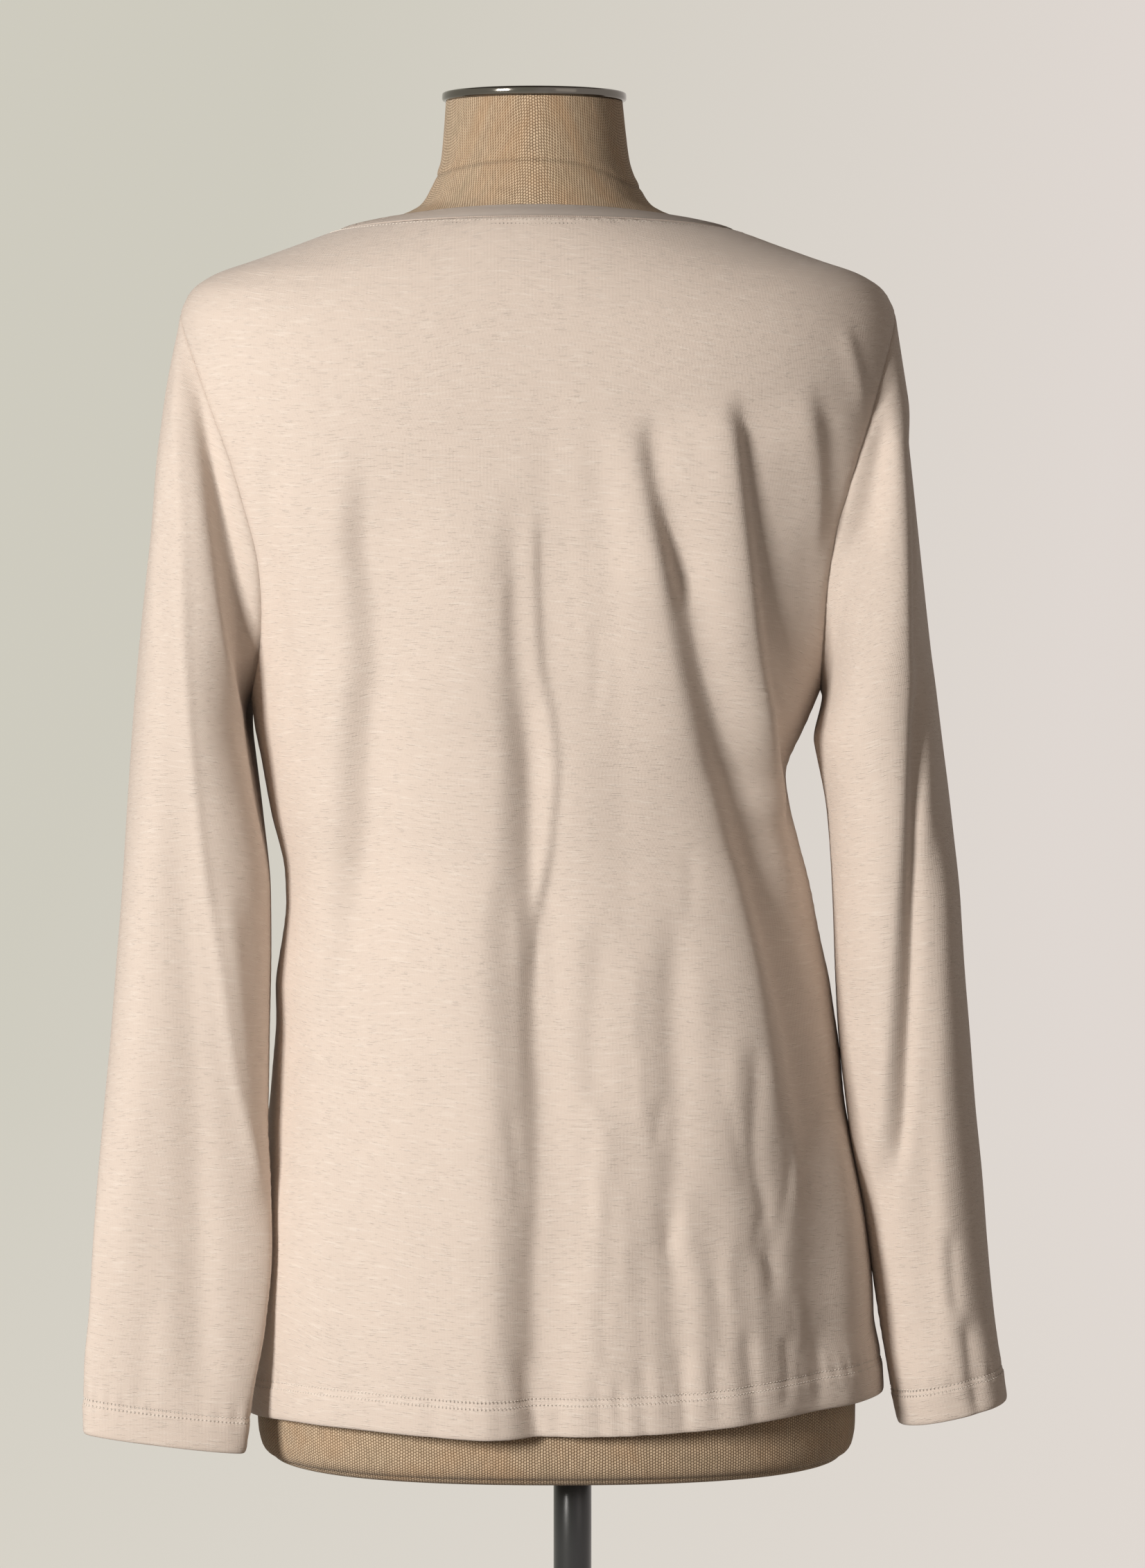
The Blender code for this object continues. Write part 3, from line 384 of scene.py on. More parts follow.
# Every row of stitches lies on a row of the mesh, at one of these distances from the edge
HEM_STEPS = (0, 0.35, 0.9, 1.8, 3.2, 5, 7, 9, 11, 13, 14.6, 15.7, 16.6, 17.5, 18.3, 19.1, 20.0,
             20.9, 22, 23.5, 25.5, 28)
CUFF_STEPS = (0, 0.35, 0.9, 1.8, 3.2, 5, 7, 9, 11, 13, 14.4, 15.4, 16.3, 17.0, 17.6, 18.2, 19.0,
              19.9, 21, 22.5, 24.5, 27)
HEM_ROWS_OF_STITCHES, CUFF_ROWS_OF_STITCHES = (16.6, 20.0), (16.3, 19.0)
NECK_ROW_OF_STITCHES = 5.7
EDGE_STEPS = (0.25, 0.5, 0.75, 1.35, 1.7)  # extra columns at a panel's sides, in column widths
EDGE_ROUND = 0.9  # radius of a folded edge
STITCH_PITCH = 2.15
# Sections of a stitch: place along it, thickness and rise, as parts of its length and radius
STITCH_SECTIONS = ((0.0, 0.55, -0.6), (0.22, 1.0, 0.55), (0.78, 1.0, 0.55), (1.0, 0.55, -0.6))
THREAD_SIDES = 6
STITCH_ENDS = ((0, 3, 2, 1), (0, 5, 4, 3), (18, 19, 20, 21), (18, 21, 22, 23))  # two quads each
FAR = 50.0  # from any row of stitches

# Stand, as (radius, height) pairs: the cap's heights count from its underside, the base's from
# the floor. The pole's give how much narrower it is at each height
CAP_GAP = 0.3
CAP_PROFILE = ((6.0, 0), (47.0, 0), (49.3, 0), (50.1, 0.4), (50.5, 1.2), (50.5, 3.4), (50.3, 4.1),
               (49.8, 4.5), (49.0, 4.75), (47.6, 4.8), (30.0, 4.8), (6.0, 4.8))
POLE_PROFILE = ((0.6, 14.3 - DATUM), (0, 14.9 - DATUM), (0, -60), (0, -9.0), (0.5, -8.4))
BASE_PROFILE = ((148.6, 0), (150.0, 1.4), (150.0, 10.2), (149.2, 12.4), (147.4, 13.6),
                (145.0, 14.0), (80.0, 14.0), (12.0, 14.0))
CAP_SIDES, POLE_SIDES, BASE_SIDES = 160, 72, 180

# Finishes: pitches of what repeats, and colours that belong to one finish
NECK_RIB_PITCH, NECK_LOOP_PITCH = 1.05, 0.62
TWIST_PITCH, TURNING_PITCH = 0.0007, 0.0009  # metres
DYE_WARM, DYE_OLD = (0.52, 0.30, 0.15, 1.0), (0.30, 0.26, 0.17, 1.0)
# the chrome's colours are painted dark, standing for a painted reflection of the dark studio in front of
# the cap
CHROME, CHROME_RUBBED = (0.16, 0.15, 0.135, 1.0), (0.24, 0.23, 0.21, 1.0)
BLACK, BLACK_DUSTY = (0.013, 0.014, 0.016, 1.0), (0.035, 0.034, 0.033, 1.0)

# Studio: places and sizes in metres, the backdrop's in millimetres
CAMERA_PLACE, CAMERA_AIM = (0.0, -2.997, 0.900), (0.0, 0.0, 0.764)
LIGHTS_AIM = (0.0, 0.0, 0.75)
KEY_PLACE, KEY_SIZE, KEY_COLOUR = (-1.95, -2.4, 1.35), (0.7, 0.8), (1.0, 0.965, 0.92)
FILL_PLACE, FILL_SIZE, FILL_COLOUR = (2.2, -2.6, 1.2), (1.6, 1.6), (1.0, 0.93, 0.86)
AIR_COLOUR, AIR_STRENGTH = (1.0, 0.84, 0.71, 1.0), 0.15
FLOOR_RADIUS, FLOOR_BEND, WALL_RADIUS, WALL_TOP = 5200.0, 4000.0, 9200.0, 9000.0
FLOOR_DROP, BACKDROP_SIDES = 0.5, 96


# Curves and tables

def curve_through(knots, values, at, flat_tops=True):
    """A smooth curve through the values at the knots.

    With flat tops it never overshoots them. Without, it has no level spot at each high or low."""
    knots, values = np.asarray(knots, float), np.asarray(values, float)
    span = np.diff(knots)
    slope = np.diff(values) / span
    tangent = np.zeros(len(knots))
    tangent[0], tangent[-1] = slope[0], slope[-1]
    for i in range(1, len(knots) - 1):
        if not flat_tops:
            shares = span[i], span[i - 1]
            tangent[i] = np.average((slope[i - 1], slope[i]), weights=shares)
        elif slope[i - 1] * slope[i] > 0:
            before, after = 2 * span[i] + span[i - 1], span[i] + 2 * span[i - 1]
            tangent[i] = (before + after) / (before / slope[i - 1] + after / slope[i])
    at = np.clip(at, knots[0], knots[-1])
    i = np.clip(np.searchsorted(knots, at, side="right") - 1, 0, len(span) - 1)
    t = (at - knots[i]) / span[i]
    rise = values[i] * (1 + 2 * t) * (1 - t) ** 2 + values[i + 1] * t * t * (3 - 2 * t)
    return rise + span[i] * (tangent[i] * t * (1 - t) ** 2 - tangent[i + 1] * t * t * (1 - t))


def column(names, rows, name, at, flat_tops=True):
    """One named column of a table, read at any value of the table's first column."""
    ordered = sorted(rows)
    place = names.index(name)
    return curve_through([row[0] for row in ordered], [row[place] for row in ordered], at, flat_tops)


def unit(vectors):
    """The same directions, each one long."""
    return vectors / np.linalg.norm(vectors, axis=-1, keepdims=True)


def smooth_step(t):
    """From 0 to 1 as t goes from 0 to 1, level at both ends."""
    t = np.clip(t, 0, 1)
    return t * t * (3 - 2 * t)


def bell(away, width):
    """1 at no distance, and next to nothing at twice the width."""
    return np.exp(-(away / width) ** 2)


def closed_up(grid):
    """A grid with its first column once more at its end."""
    return np.concatenate([grid, grid[:, :1]], axis=1)


def length_along(points, axis):
    """Running length of a grid's rows (axis 1) or columns (axis 0)."""
    steps = np.linalg.norm(np.diff(points, axis=axis), axis=-1)
    run = np.cumsum(steps, axis=axis)
    start = np.zeros_like(np.take(run, [0], axis=axis))
    return np.concatenate([start, run], axis=axis)


def ripple(along, pitch):
    """An uneven ripple, between -1 and 1, of about one pitch."""
    wander = np.sin(along / (3.1 * pitch)) * 1.7 + np.sin(along / (7.3 * pitch) + 1) * 2.3
    size = 0.62 + 0.38 * np.sin(along / (2.3 * pitch) + 2)
    return size * np.sin(2 * math.pi * along / pitch + wander)


# The form, and the cloth's surface around it

def middle_x(height):
    """Where the form's middle stands at a height: it leans a little to the left."""
    return MIDDLE_AT_BOTTOM + (MIDDLE_AT_NECK - MIDDLE_AT_BOTTOM) * height / LEAN_HEIGHT


def form_point(angle, height):
    """The form's surface. The angle is 0 at the right side and a quarter turn at the front."""
    side, back, front, square = (column(FORM_COLUMNS, FORM_RINGS, name, height)
                                 for name in FORM_COLUMNS[1:])
    cos, sin = np.cos(angle), np.sin(angle)
    swell = (np.abs(cos) ** square + np.abs(sin) ** square) ** (-1 / square)
    x = side * cos * swell
    y = np.where(sin > 0, front, back) * sin * swell
    for bust in (-BUST_APART, BUST_APART):
        away = ((x - bust) ** 2 + (height - BUST_HEIGHT) ** 2) / BUST_REACH ** 2
        y = y + BUST_SIZE * np.exp(-away) * np.clip(sin, 0, 1) ** 2
    return np.stack(np.broadcast_arrays(x + middle_x(height), y, height), axis=-1)


def outward(surface, angle, height):
    """Unit normals of a surface of (angle, height), by small steps both ways."""
    turn, climb = 0.004, 0.4
    along = surface(angle + turn, height) - surface(angle - turn, height)
    upward = surface(angle, height + climb) - surface(angle, height - climb)
    return unit(np.cross(along, upward))


def fold_lift(folds, x, height):
    """How far the folds lift the cloth off its smooth shape, or sink it, at each x and height."""
    x, height = np.broadcast_arrays(x, height)
    lift = np.zeros(x.shape)
    for path, left, right, size, fade in folds:
        heights, places = zip(*sorted(path))
        low, high = heights[0] - fade / 2, heights[-1] + fade / 2
        near = (height > low) & (height < high)
        at, across = height[near], x[near]
        line = curve_through(heights, places, at)
        width = np.where(across < line, left, right)
        strength = smooth_step(np.minimum(at - low, high - at) / fade)
        lift[near] += size * strength * bell(across - line, width)
    return lift


def cloth_point(angle, height):
    """The middle of the shirt body's cloth."""
    point = form_point(angle, height)
    normal = outward(form_point, angle, height)
    left, right, back, front = (column(EASE_COLUMNS, EASE, name, height, name in ("left", "right"))
                                for name in EASE_COLUMNS[1:])
    cos, sin = np.cos(angle), np.sin(angle)
    ease = np.where(cos > 0, right, left) * cos ** 2 + np.where(sin > 0, front, back) * sin ** 2
    x = point[..., 0] + normal[..., 0] * ease
    folds = np.where(sin > 0, fold_lift(FRONT_FOLDS, x, height), fold_lift(BACK_FOLDS, x, height))
    folds = folds * np.clip(np.abs(sin) * 3, 0, 1)
    spare = ease + folds - LEAST_EASE
    lift = LEAST_EASE + (spare + np.hypot(spare, VALLEY_SOFTNESS * folds)) / 2
    return point + normal * lift[..., None]


def smooth_cloth(angle, height):
    """The cloth without its folds."""
    point = form_point(angle, height)
    ease = np.clip(column(EASE_COLUMNS, EASE, "back", height), LEAST_EASE, None)
    return point + outward(form_point, angle, height) * ease[..., None]


def length_up(angle, height):
    """How far up the smooth cloth a point lies, so that its yarns run true across every row."""
    turns, levels = np.linspace(-math.pi, math.pi, 181), np.linspace(0.0, 700.0, 351)
    table = length_along(smooth_cloth(*np.broadcast_arrays(turns[None], levels[:, None])), 0)
    across = (angle + math.pi) / (turns[1] - turns[0])
    up = height / (levels[1] - levels[0])
    i, j = (np.clip(values.astype(int), 0, len(steps) - 2)
            for values, steps in ((across, turns), (up, levels)))
    a, b = across - i, up - j
    low = table[j, i] * (1 - a) + table[j, i + 1] * a
    high = table[j + 1, i] * (1 - a) + table[j + 1, i + 1] * a
    return low * (1 - b) + high * b


def angle_at(height, across, from_side):
    """Angle from a side at which the ring lies `across` in front of or behind the sides."""
    depth = column(FORM_COLUMNS, FORM_RINGS, from_side, height)
    depth = depth + column(EASE_COLUMNS, EASE, from_side, height)
    square = column(FORM_COLUMNS, FORM_RINGS, "square", height)
    part = np.clip(np.abs(across) / depth, 0, 0.999)
    return np.arctan2(part, (1 - part ** square) ** (1 / square))


def armhole(around, arm):
    """Angle and height of the armhole's line: around is 0 on top and a quarter turn behind."""
    middle, half = (ARMHOLE_TOP + ARMHOLE_BOTTOM) / 2, (ARMHOLE_TOP - ARMHOLE_BOTTOM) / 2
    height = middle + half * np.cos(around)
    behind = np.sin(around) > 0
    from_side = np.where(
        behind,
        angle_at(height, ARMHOLE_DEPTH[arm, "back"] * np.sin(around), "back"),
        angle_at(height, ARMHOLE_DEPTH[arm, "front"] * np.sin(around), "front"))
    turned = np.where(behind, -from_side, from_side)
    return (turned if arm == "right" else math.pi - turned), height


def armhole_steps():
    """Turns from the armhole's top to its foot, where the panels have their rows."""
    part = np.linspace(0, 1, ARMHOLE_ROWS + 1)
    return (math.pi * part + np.arccos(1 - 2 * part)) / 2


def neckline(part, face):
    """Angle from the right side and height of the neckline: part runs from 0, right, to 1."""
    around = math.pi * part
    if face == "back":
        return around, NECK_SIDE + (NECK_BACK - NECK_SIDE) * np.sin(around)
    around = math.pi * (part - CROWD / (2 * math.pi) * np.sin(2 * math.pi * part))
    height = NECK_SIDE - (NECK_SIDE - NECK_FRONT) * np.sin(around) ** NECK_ROUND
    half = column(FORM_COLUMNS, FORM_RINGS, "side", height)
    half = half + (NECK_HALF - column(FORM_COLUMNS, FORM_RINGS, "side", NECK_SIDE))
    square = column(FORM_COLUMNS, FORM_RINGS, "square", height)
    sideways = np.clip(NECK_HALF * np.cos(around) / half, -1, 1)
    forward = np.clip(1 - np.abs(sideways) ** square, 0, 1) ** (1 / square)
    return np.arctan2(forward, sideways), height


def shoulder_heights(tip, high):
    """Heights up the shoulder seam, evenly spaced along its slope."""
    fine = np.linspace(tip, high, 200)
    line = cloth_point(np.zeros(len(fine)), fine)
    run = length_along(line[None], 1)[0]
    return np.interp(np.linspace(0, run[-1], SHOULDER_ROWS), run, fine)


def panel_grid(face, columns):
    """Angles and heights of a body panel's points, row by row from its hem to its neckline."""
    close = np.array(EDGE_STEPS) / columns
    part = np.unique(np.concatenate([np.linspace(0, 1, columns + 1), close, 1 - close]))
    sign = -1 if face == "back" else 1
    around = armhole_steps()[-2:0:-1]
    shoulder = shoulder_heights(ARMHOLE_TOP + SEAM_GAP / 2, NECK_SIDE)
    edges = {}
    for arm in ("right", "left"):
        turned, height = armhole(around if face == "back" else -around, arm)
        turned = np.abs(turned) if arm == "right" else np.abs(turned - math.pi)
        height = np.concatenate([[ARMHOLE_BOTTOM - SEAM_GAP / 2], height, shoulder])
        seam = angle_at(height, SEAM_GAP / 2, face)
        seam[1:len(around) + 1] = turned
        edges[arm] = seam, height
    low_angle = math.pi * part
    low_height = np.full(len(part), ARMHOLE_BOTTOM)
    top_angle, top_height = neckline(part, face)
    v = (edges["right"][1] - ARMHOLE_BOTTOM) / (NECK_SIDE - ARMHOLE_BOTTOM)
    v = np.clip(v, 0, 1)[:, None]

    def patch(right, left, low, top):
        ruled = (1 - v) * low + v * top
        from_right, from_left = (1 - part) ** EDGE_PULL, part ** EDGE_PULL
        return (ruled + from_right * (right[:, None] - ruled[:, :1])
                + from_left * (left[:, None] - ruled[:, -1:]))

    low_angle[0], low_angle[-1] = edges["right"][0][0], math.pi - edges["left"][0][0]
    top_angle[0], top_angle[-1] = edges["right"][0][-1], math.pi - edges["left"][0][-1]
    angles = patch(edges["right"][0], math.pi - edges["left"][0], low_angle, top_angle)
    heights = patch(edges["right"][1], edges["left"][1], low_height, top_height)
    hem = column(HEM_COLUMNS, HEM, "height", np.degrees(sign * low_angle) % 360)
    climb = np.linspace(0, 1, SKIRT_ROWS + 1)[1:-1, None]
    low_rows = hem + np.array(HEM_STEPS)[:, None]
    skirt_heights = np.concatenate([low_rows, low_rows[-1] + (heights[0] - low_rows[-1]) * climb])
    skirt_angles = np.repeat(low_angle[None], len(skirt_heights), axis=0)
    skirt_angles[:, 0] = angle_at(skirt_heights[:, 0], SEAM_GAP / 2, face)
    skirt_angles[:, -1] = math.pi - angle_at(skirt_heights[:, -1], SEAM_GAP / 2, face)
    return (sign * np.concatenate([skirt_angles, angles]),
            np.concatenate([skirt_heights, heights]))


# Sewn details, as heights over the smooth cloth

def seam_groove(away, along):
    """The cloth rolls down into a seam, and puckers a little on its way."""
    groove = -SEAM_TUCK * bell(away, SEAM_TUCK_WIDTH)
    return groove + PUCKER * ripple(along, PUCKER_PITCH) * bell(away - PUCKER_PLACE, PUCKER_WIDTH)


def hem_relief(from_edge, along, rows):
    """The turned-up layer, the grooves under two rows of stitches and the puckers about them."""
    low, high = rows
    layer = HEM_SWELL * (1 - smooth_step((from_edge - low + 1) / 3.0))
    layer = layer * smooth_step(from_edge / 2.5)
    groove = -HEM_GROOVE * (bell(from_edge - low, 0.75) + bell(from_edge - high, 0.75))
    ridge = HEM_RIDGE * bell(from_edge - (low + high) / 2, 0.9)
    pucker = HEM_PUCKER * ripple(along, HEM_PUCKER_PITCH) * bell(from_edge - high - 1, 7.5)
    return layer + groove + ridge + pucker


def from_rows(from_edge, rows):
    """Distance from the nearest row of stitches."""
    return np.min([np.abs(from_edge - row) for row in rows], axis=0)


def half_wall(from_edge, thickness, hem_depth=0.0):
    """Half thickness of the cloth: round at its folded edge, and doubled as deep as the hem."""
    round_edge = np.sqrt(1 - (1 - np.clip(from_edge / EDGE_ROUND, 0.04, 1)) ** 2)
    doubled = 1 - smooth_step((from_edge - hem_depth) / 1.0) if hem_depth else 0.0
    return thickness / 2 * round_edge * (1 + HEM_DOUBLED * doubled)


# Meshes

def grid_quads(shape, closed):
    """The numbers of a grid's points, row by row, and the quads between them."""
    index = np.arange(math.prod(shape)).reshape(shape)
    if closed:
        index = closed_up(index)
    quads = np.stack([index[:-1, :-1], index[:-1, 1:], index[1:, 1:], index[1:, :-1]], axis=-1)
    return index, quads.reshape(-1, 4)


def shell(points, normals, half, closed):
    """Vertices and quads of a cloth wall about a grid of points, with its two skins."""
    half = half[..., None]
    verts = np.concatenate([(points + normals * half).reshape(-1, 3),
                            (points - normals * half).reshape(-1, 3)])
    index, outer = grid_quads(points.shape[:2], closed)
    inside = len(verts) // 2
    rims = [(index[0, 1:], index[0, :-1]), (index[-1, :-1], index[-1, 1:])]
    if not closed:
        rims += [(index[:-1, 0], index[1:, 0]), (index[1:, -1], index[:-1, -1])]
    edges = [np.stack([a, b, b + inside, a + inside], axis=-1) for a, b in rims]
    return verts, np.concatenate([outer, outer[:, ::-1] + inside, *edges])


def facing_out(verts, faces):
    """The faces, turned round if they enclose their volume inside out."""
    a, b, c, d = (verts[faces[:, i]] for i in range(4))
    volume = np.einsum("ij,ij->i", a, np.cross(b, c) + np.cross(c, d)).sum()
    return faces if volume > 0 else faces[:, ::-1]


def grid_normals(points):
    """Normals of a grid whose columns go all the way round."""
    around = np.roll(points, -1, axis=1) - np.roll(points, 1, axis=1)
    along = np.gradient(points, axis=0, edge_order=2)
    return unit(np.cross(along, around))


def skin_area(points, closed):
    """Area of a grid, in square millimetres."""
    if closed:
        points = closed_up(points)
    twice = np.cross(points[1:, 1:] - points[:-1, :-1], points[1:, :-1] - points[:-1, 1:])
    return np.linalg.norm(twice, axis=-1).sum() / 2


class Cloth:
    """A panel of cloth as a grid of points, with what its sewing and its finish need to know."""

    def __init__(self, points, normals, half, closed, across, along, seam, from_row=FAR):
        self.points, self.normals, self.closed = points, normals, closed
        self.half = np.broadcast_to(half, points.shape[:2])
        self.weave = np.stack(np.broadcast_arrays(across, along, seam), axis=-1)
        self.from_row = np.broadcast_to(from_row, points.shape[:2])

    def mesh(self):
        """Vertices and quads, with each vertex's place in the weave and distance from stitches."""
        verts, faces = shell(self.points, self.normals, self.half, self.closed)
        return (verts, faces, np.concatenate([self.weave.reshape(-1, 3)] * 2),
                np.concatenate([self.from_row.ravel()] * 2))

    def row(self, place):
        """The outer face along one row of the grid, and its normals there."""
        rows = self.points[place] + self.normals[place] * self.half[place][:, None]
        normals = self.normals[place]
        if self.closed:
            rows, normals = (np.concatenate([line, line[:1]]) for line in (rows, normals))
        return rows, normals

    def flat(self):
        """Width, length and area of the cut, in metres, taken from the hanging cloth."""
        ring = closed_up(self.points) if self.closed else self.points
        wide = length_along(ring, 1)[:, -1].max()
        long = length_along(ring, 0)[-1].max()
        return wide * MM, long * MM, skin_area(self.points, self.closed) * MM * MM


def body_panel(face, columns, thickness):
    """The back or the front, from its hem to its neckline, with its seams and rows of stitches."""
    angles, heights = panel_grid(face, columns)
    points = cloth_point(angles, heights)
    normals = outward(cloth_point, angles, heights)
    across, along = length_along(points, 1), length_along(points, 0)
    from_side = np.minimum(across, across[:, -1:] - across)
    from_neck = along[-1:] - along
    relief = seam_groove(from_side, along)
    relief = relief + seam_groove(from_neck, across[-1:])
    relief = relief - NECK_ROW_GROOVE * bell(from_neck - NECK_ROW_OF_STITCHES, 0.8)
    relief = relief + hem_relief(along, across + 40, HEM_ROWS_OF_STITCHES)
    points = points + normals * relief[..., None]
    # painted shade along the side seams and the neckline seam, carried to the finish in the weave
    seam = np.maximum(bell(from_side, SIDE_SHADE), bell(from_neck, NECK_SHADE))
    middle = across[:, -1:] / 2
    half = half_wall(along, thickness, HEM_ROWS_OF_STITCHES[0])
    from_row = np.minimum(from_rows(along, HEM_ROWS_OF_STITCHES),
                          from_rows(from_neck, (NECK_ROW_OF_STITCHES,)))
    return Cloth(points, normals, half, False, across - middle, length_up(angles, heights), seam,
                 from_row)


def sleeve_ring(arm, around, height):
    """The sleeve's tube below the underarm, before its folds."""
    inner, outer, middle, depth, square, rise = (
        column(SLEEVE_COLUMNS, SLEEVE_RINGS[arm], name, height) for name in SLEEVE_COLUMNS[1:])
    cos, sin = np.cos(around), np.sin(around)
    swell = (np.abs(cos) ** square + np.abs(sin) ** square) ** (-1 / square)
    x = (inner + outer) / 2 + (outer - inner) / 2 * cos * swell
    return np.stack(np.broadcast_arrays(
        x, middle - depth * sin * swell, height + rise / 2 * cos * swell), axis=-1)


def sleeve_start(arm, around, thickness):
    """Where the sleeve meets its armhole, and the way it leaves it."""
    angle, height = armhole(around, arm)
    edge = cloth_point(angle, height)
    face = outward(cloth_point, angle, height)
    side = 1 if arm == "right" else -1
    top, foot = np.clip(np.cos(around), 0, 1) ** 2, np.clip(-np.cos(around), 0, 1) ** 2
    back = np.sin(around) ** 2

    def mix(parts):
        return parts["top"] * top + parts["back"] * back + parts["foot"] * foot

    leave = unit(np.stack([side * mix(LEAVE_OUT), -LEAVE_BULGE * np.sin(around),
                           -mix(LEAVE_DOWN)], axis=-1))
    line = unit(np.roll(edge, -1, axis=0) - np.roll(edge, 1, axis=0))
    into = unit(np.cross(face, line))
    toward_middle = np.sign(np.sum(into * (edge.mean(axis=0) - edge), axis=-1, keepdims=True))
    into = into * toward_middle
    own_face = unit(np.cross(line, leave)) * side
    own_face = own_face * np.sign(own_face[0, 0] * side)
    bend = 1 - np.sum(face * own_face, axis=-1, keepdims=True)
    start = edge + unit(into + leave) * (SLEEVE_FIT + ARMHOLE_TURN * thickness * bend)
    tucked = edge - face * (SEAM_TUCK + thickness * 0.9) - into * SLEEVE_UNDER
    return tucked, start, leave


def sleeve_tube(arm, thickness):
    """Turns round a sleeve, and its folded points from its armhole to its cuff."""
    near_seam = math.pi + np.radians(SEAM_TURNS)
    around = np.unique(np.concatenate(
        [np.linspace(0, 2 * math.pi, SLEEVE_AROUND, endpoint=False), near_seam]))
    tucked, start, leave = sleeve_start(arm, around, thickness)
    rings = sorted(SLEEVE_RINGS[arm], reverse=True)
    high, low = float(rings[0][0]), float(rings[-1][0])
    first = sleeve_ring(arm, around, high)
    downward = unit(sleeve_ring(arm, around, high - 8.0) - first)
    reach = np.linalg.norm(first - start, axis=-1, keepdims=True)
    rows = [tucked]
    for t in np.linspace(0, 1, CAP_ROWS + 1)[:-1] ** CAP_CROWD:
        from_start = start * (1 + 2 * t) * (1 - t) ** 2 + leave * reach * t * (1 - t) ** 2
        to_first = first * t * t * (3 - 2 * t) - downward * reach * t * t * (1 - t)
        rows.append(from_start + to_first)
    cuff = low + np.array(CUFF_STEPS)[::-1]
    for height in np.concatenate([np.linspace(high, cuff[0], SLEEVE_ROWS)[:-1], cuff]):
        rows.append(sleeve_ring(arm, around, height))
    points = np.array(rows)
    normals = outer_side(arm, grid_normals(points))
    settle = smooth_step(length_along(points, 0) / FOLDS_BEGIN)
    back = np.clip(np.sin(around) * 2.4, 0, 1)
    front = np.clip(-np.sin(around) * 2.4, 0, 1)
    x, height = points[..., 0], points[..., 2]
    lift = (fold_lift(SLEEVE_BACK_FOLDS[arm], x, height) * back
            + fold_lift(SLEEVE_FRONT_FOLDS[arm], x, height) * front)
    points = points + normals * (lift * settle)[..., None]
    return around, points


def outer_side(arm, normals):
    """Normals of a sleeve's grid, turned to point out of the tube."""
    side = 1 if arm == "right" else -1
    return normals * np.sign(normals[-1, 0, 0] * side)


def sleeve(arm, thickness):
    """One sleeve, from its armhole to its cuff, with its seams and rows of stitches."""
    around, points = sleeve_tube(arm, thickness)
    normals = outer_side(arm, grid_normals(points))
    down = length_along(points, 0)
    up = down[-1:] - down
    across = length_along(closed_up(points), 1)[:, :-1]
    under = int(np.argmin(np.abs(around - math.pi)))
    from_under = np.abs(across - across[:, under:under + 1])
    relief = seam_groove(down, across[:1]) + seam_groove(from_under, down + 20)
    relief = relief + hem_relief(up, across, CUFF_ROWS_OF_STITCHES)
    points = points + normals * relief[..., None]
    # painted shade along the armhole seam and the underarm seam
    seam = np.maximum(bell(down, SLEEVE_SHADE), bell(from_under, SLEEVE_SHADE))
    half = half_wall(up, thickness, CUFF_ROWS_OF_STITCHES[0])
    return Cloth(points, normals, half, True, across, up, seam, from_rows(up, CUFF_ROWS_OF_STITCHES))


def place_on_form(points):
    """Angle and height at which the form's surface passes each point, or level with it."""
    height = points[..., 2]
    x, y = points[..., 0] - middle_x(height), points[..., 1]
    side = column(FORM_COLUMNS, FORM_RINGS, "side", height)
    depth = np.where(y > 0, column(FORM_COLUMNS, FORM_RINGS, "front", height),
                     column(FORM_COLUMNS, FORM_RINGS, "back", height))
    return np.arctan2(y / depth, x / side), height


def neckband(thickness, width):
    """The folded rib, from its seam at the neckline to its fold."""
    front_angle, front_height = neckline(np.linspace(0, 1, 2 * FRONT_COLUMNS + 1)[:-1], "front")
    back_angle, back_height = neckline(np.linspace(1, 0, 2 * BACK_COLUMNS + 1)[:-1], "back")
    angle = np.concatenate([front_angle, -back_angle])
    height = np.concatenate([front_height, back_height])
    seam = form_point(angle, height)
    line = unit(np.roll(seam, -1, axis=0) - np.roll(seam, 1, axis=0))
    inward = unit(np.cross(outward(form_point, angle, height), line))
    steps = np.linspace(0, 1, BAND_SECTION) ** 0.9 * (width - BAND_FIT) + BAND_FIT
    rows = [place_on_form(seam + inward * away) for away in steps]
    angles, heights = (np.array(values) for values in zip(*rows))
    points = cloth_point(angles, heights)
    faces = outward(cloth_point, angles, heights)
    away = steps[:, None]
    along = length_along(closed_up(points), 1)[:, :-1]
    arch = BAND_ARCH * (1 - ((away - width / 2) / (width / 2)) ** 2)
    relief = arch - BAND_SINK * bell(away - BAND_FIT, 1.2)
    relief = relief + BAND_WAVE * ripple(along, BAND_WAVE_PITCH)
    points = points + faces * relief[..., None]
    half = half_wall(width - away, thickness)
    # the last value is painted shade along the band's seam
    return Cloth(points, faces, half, True, along, away, bell(away, 1.3))


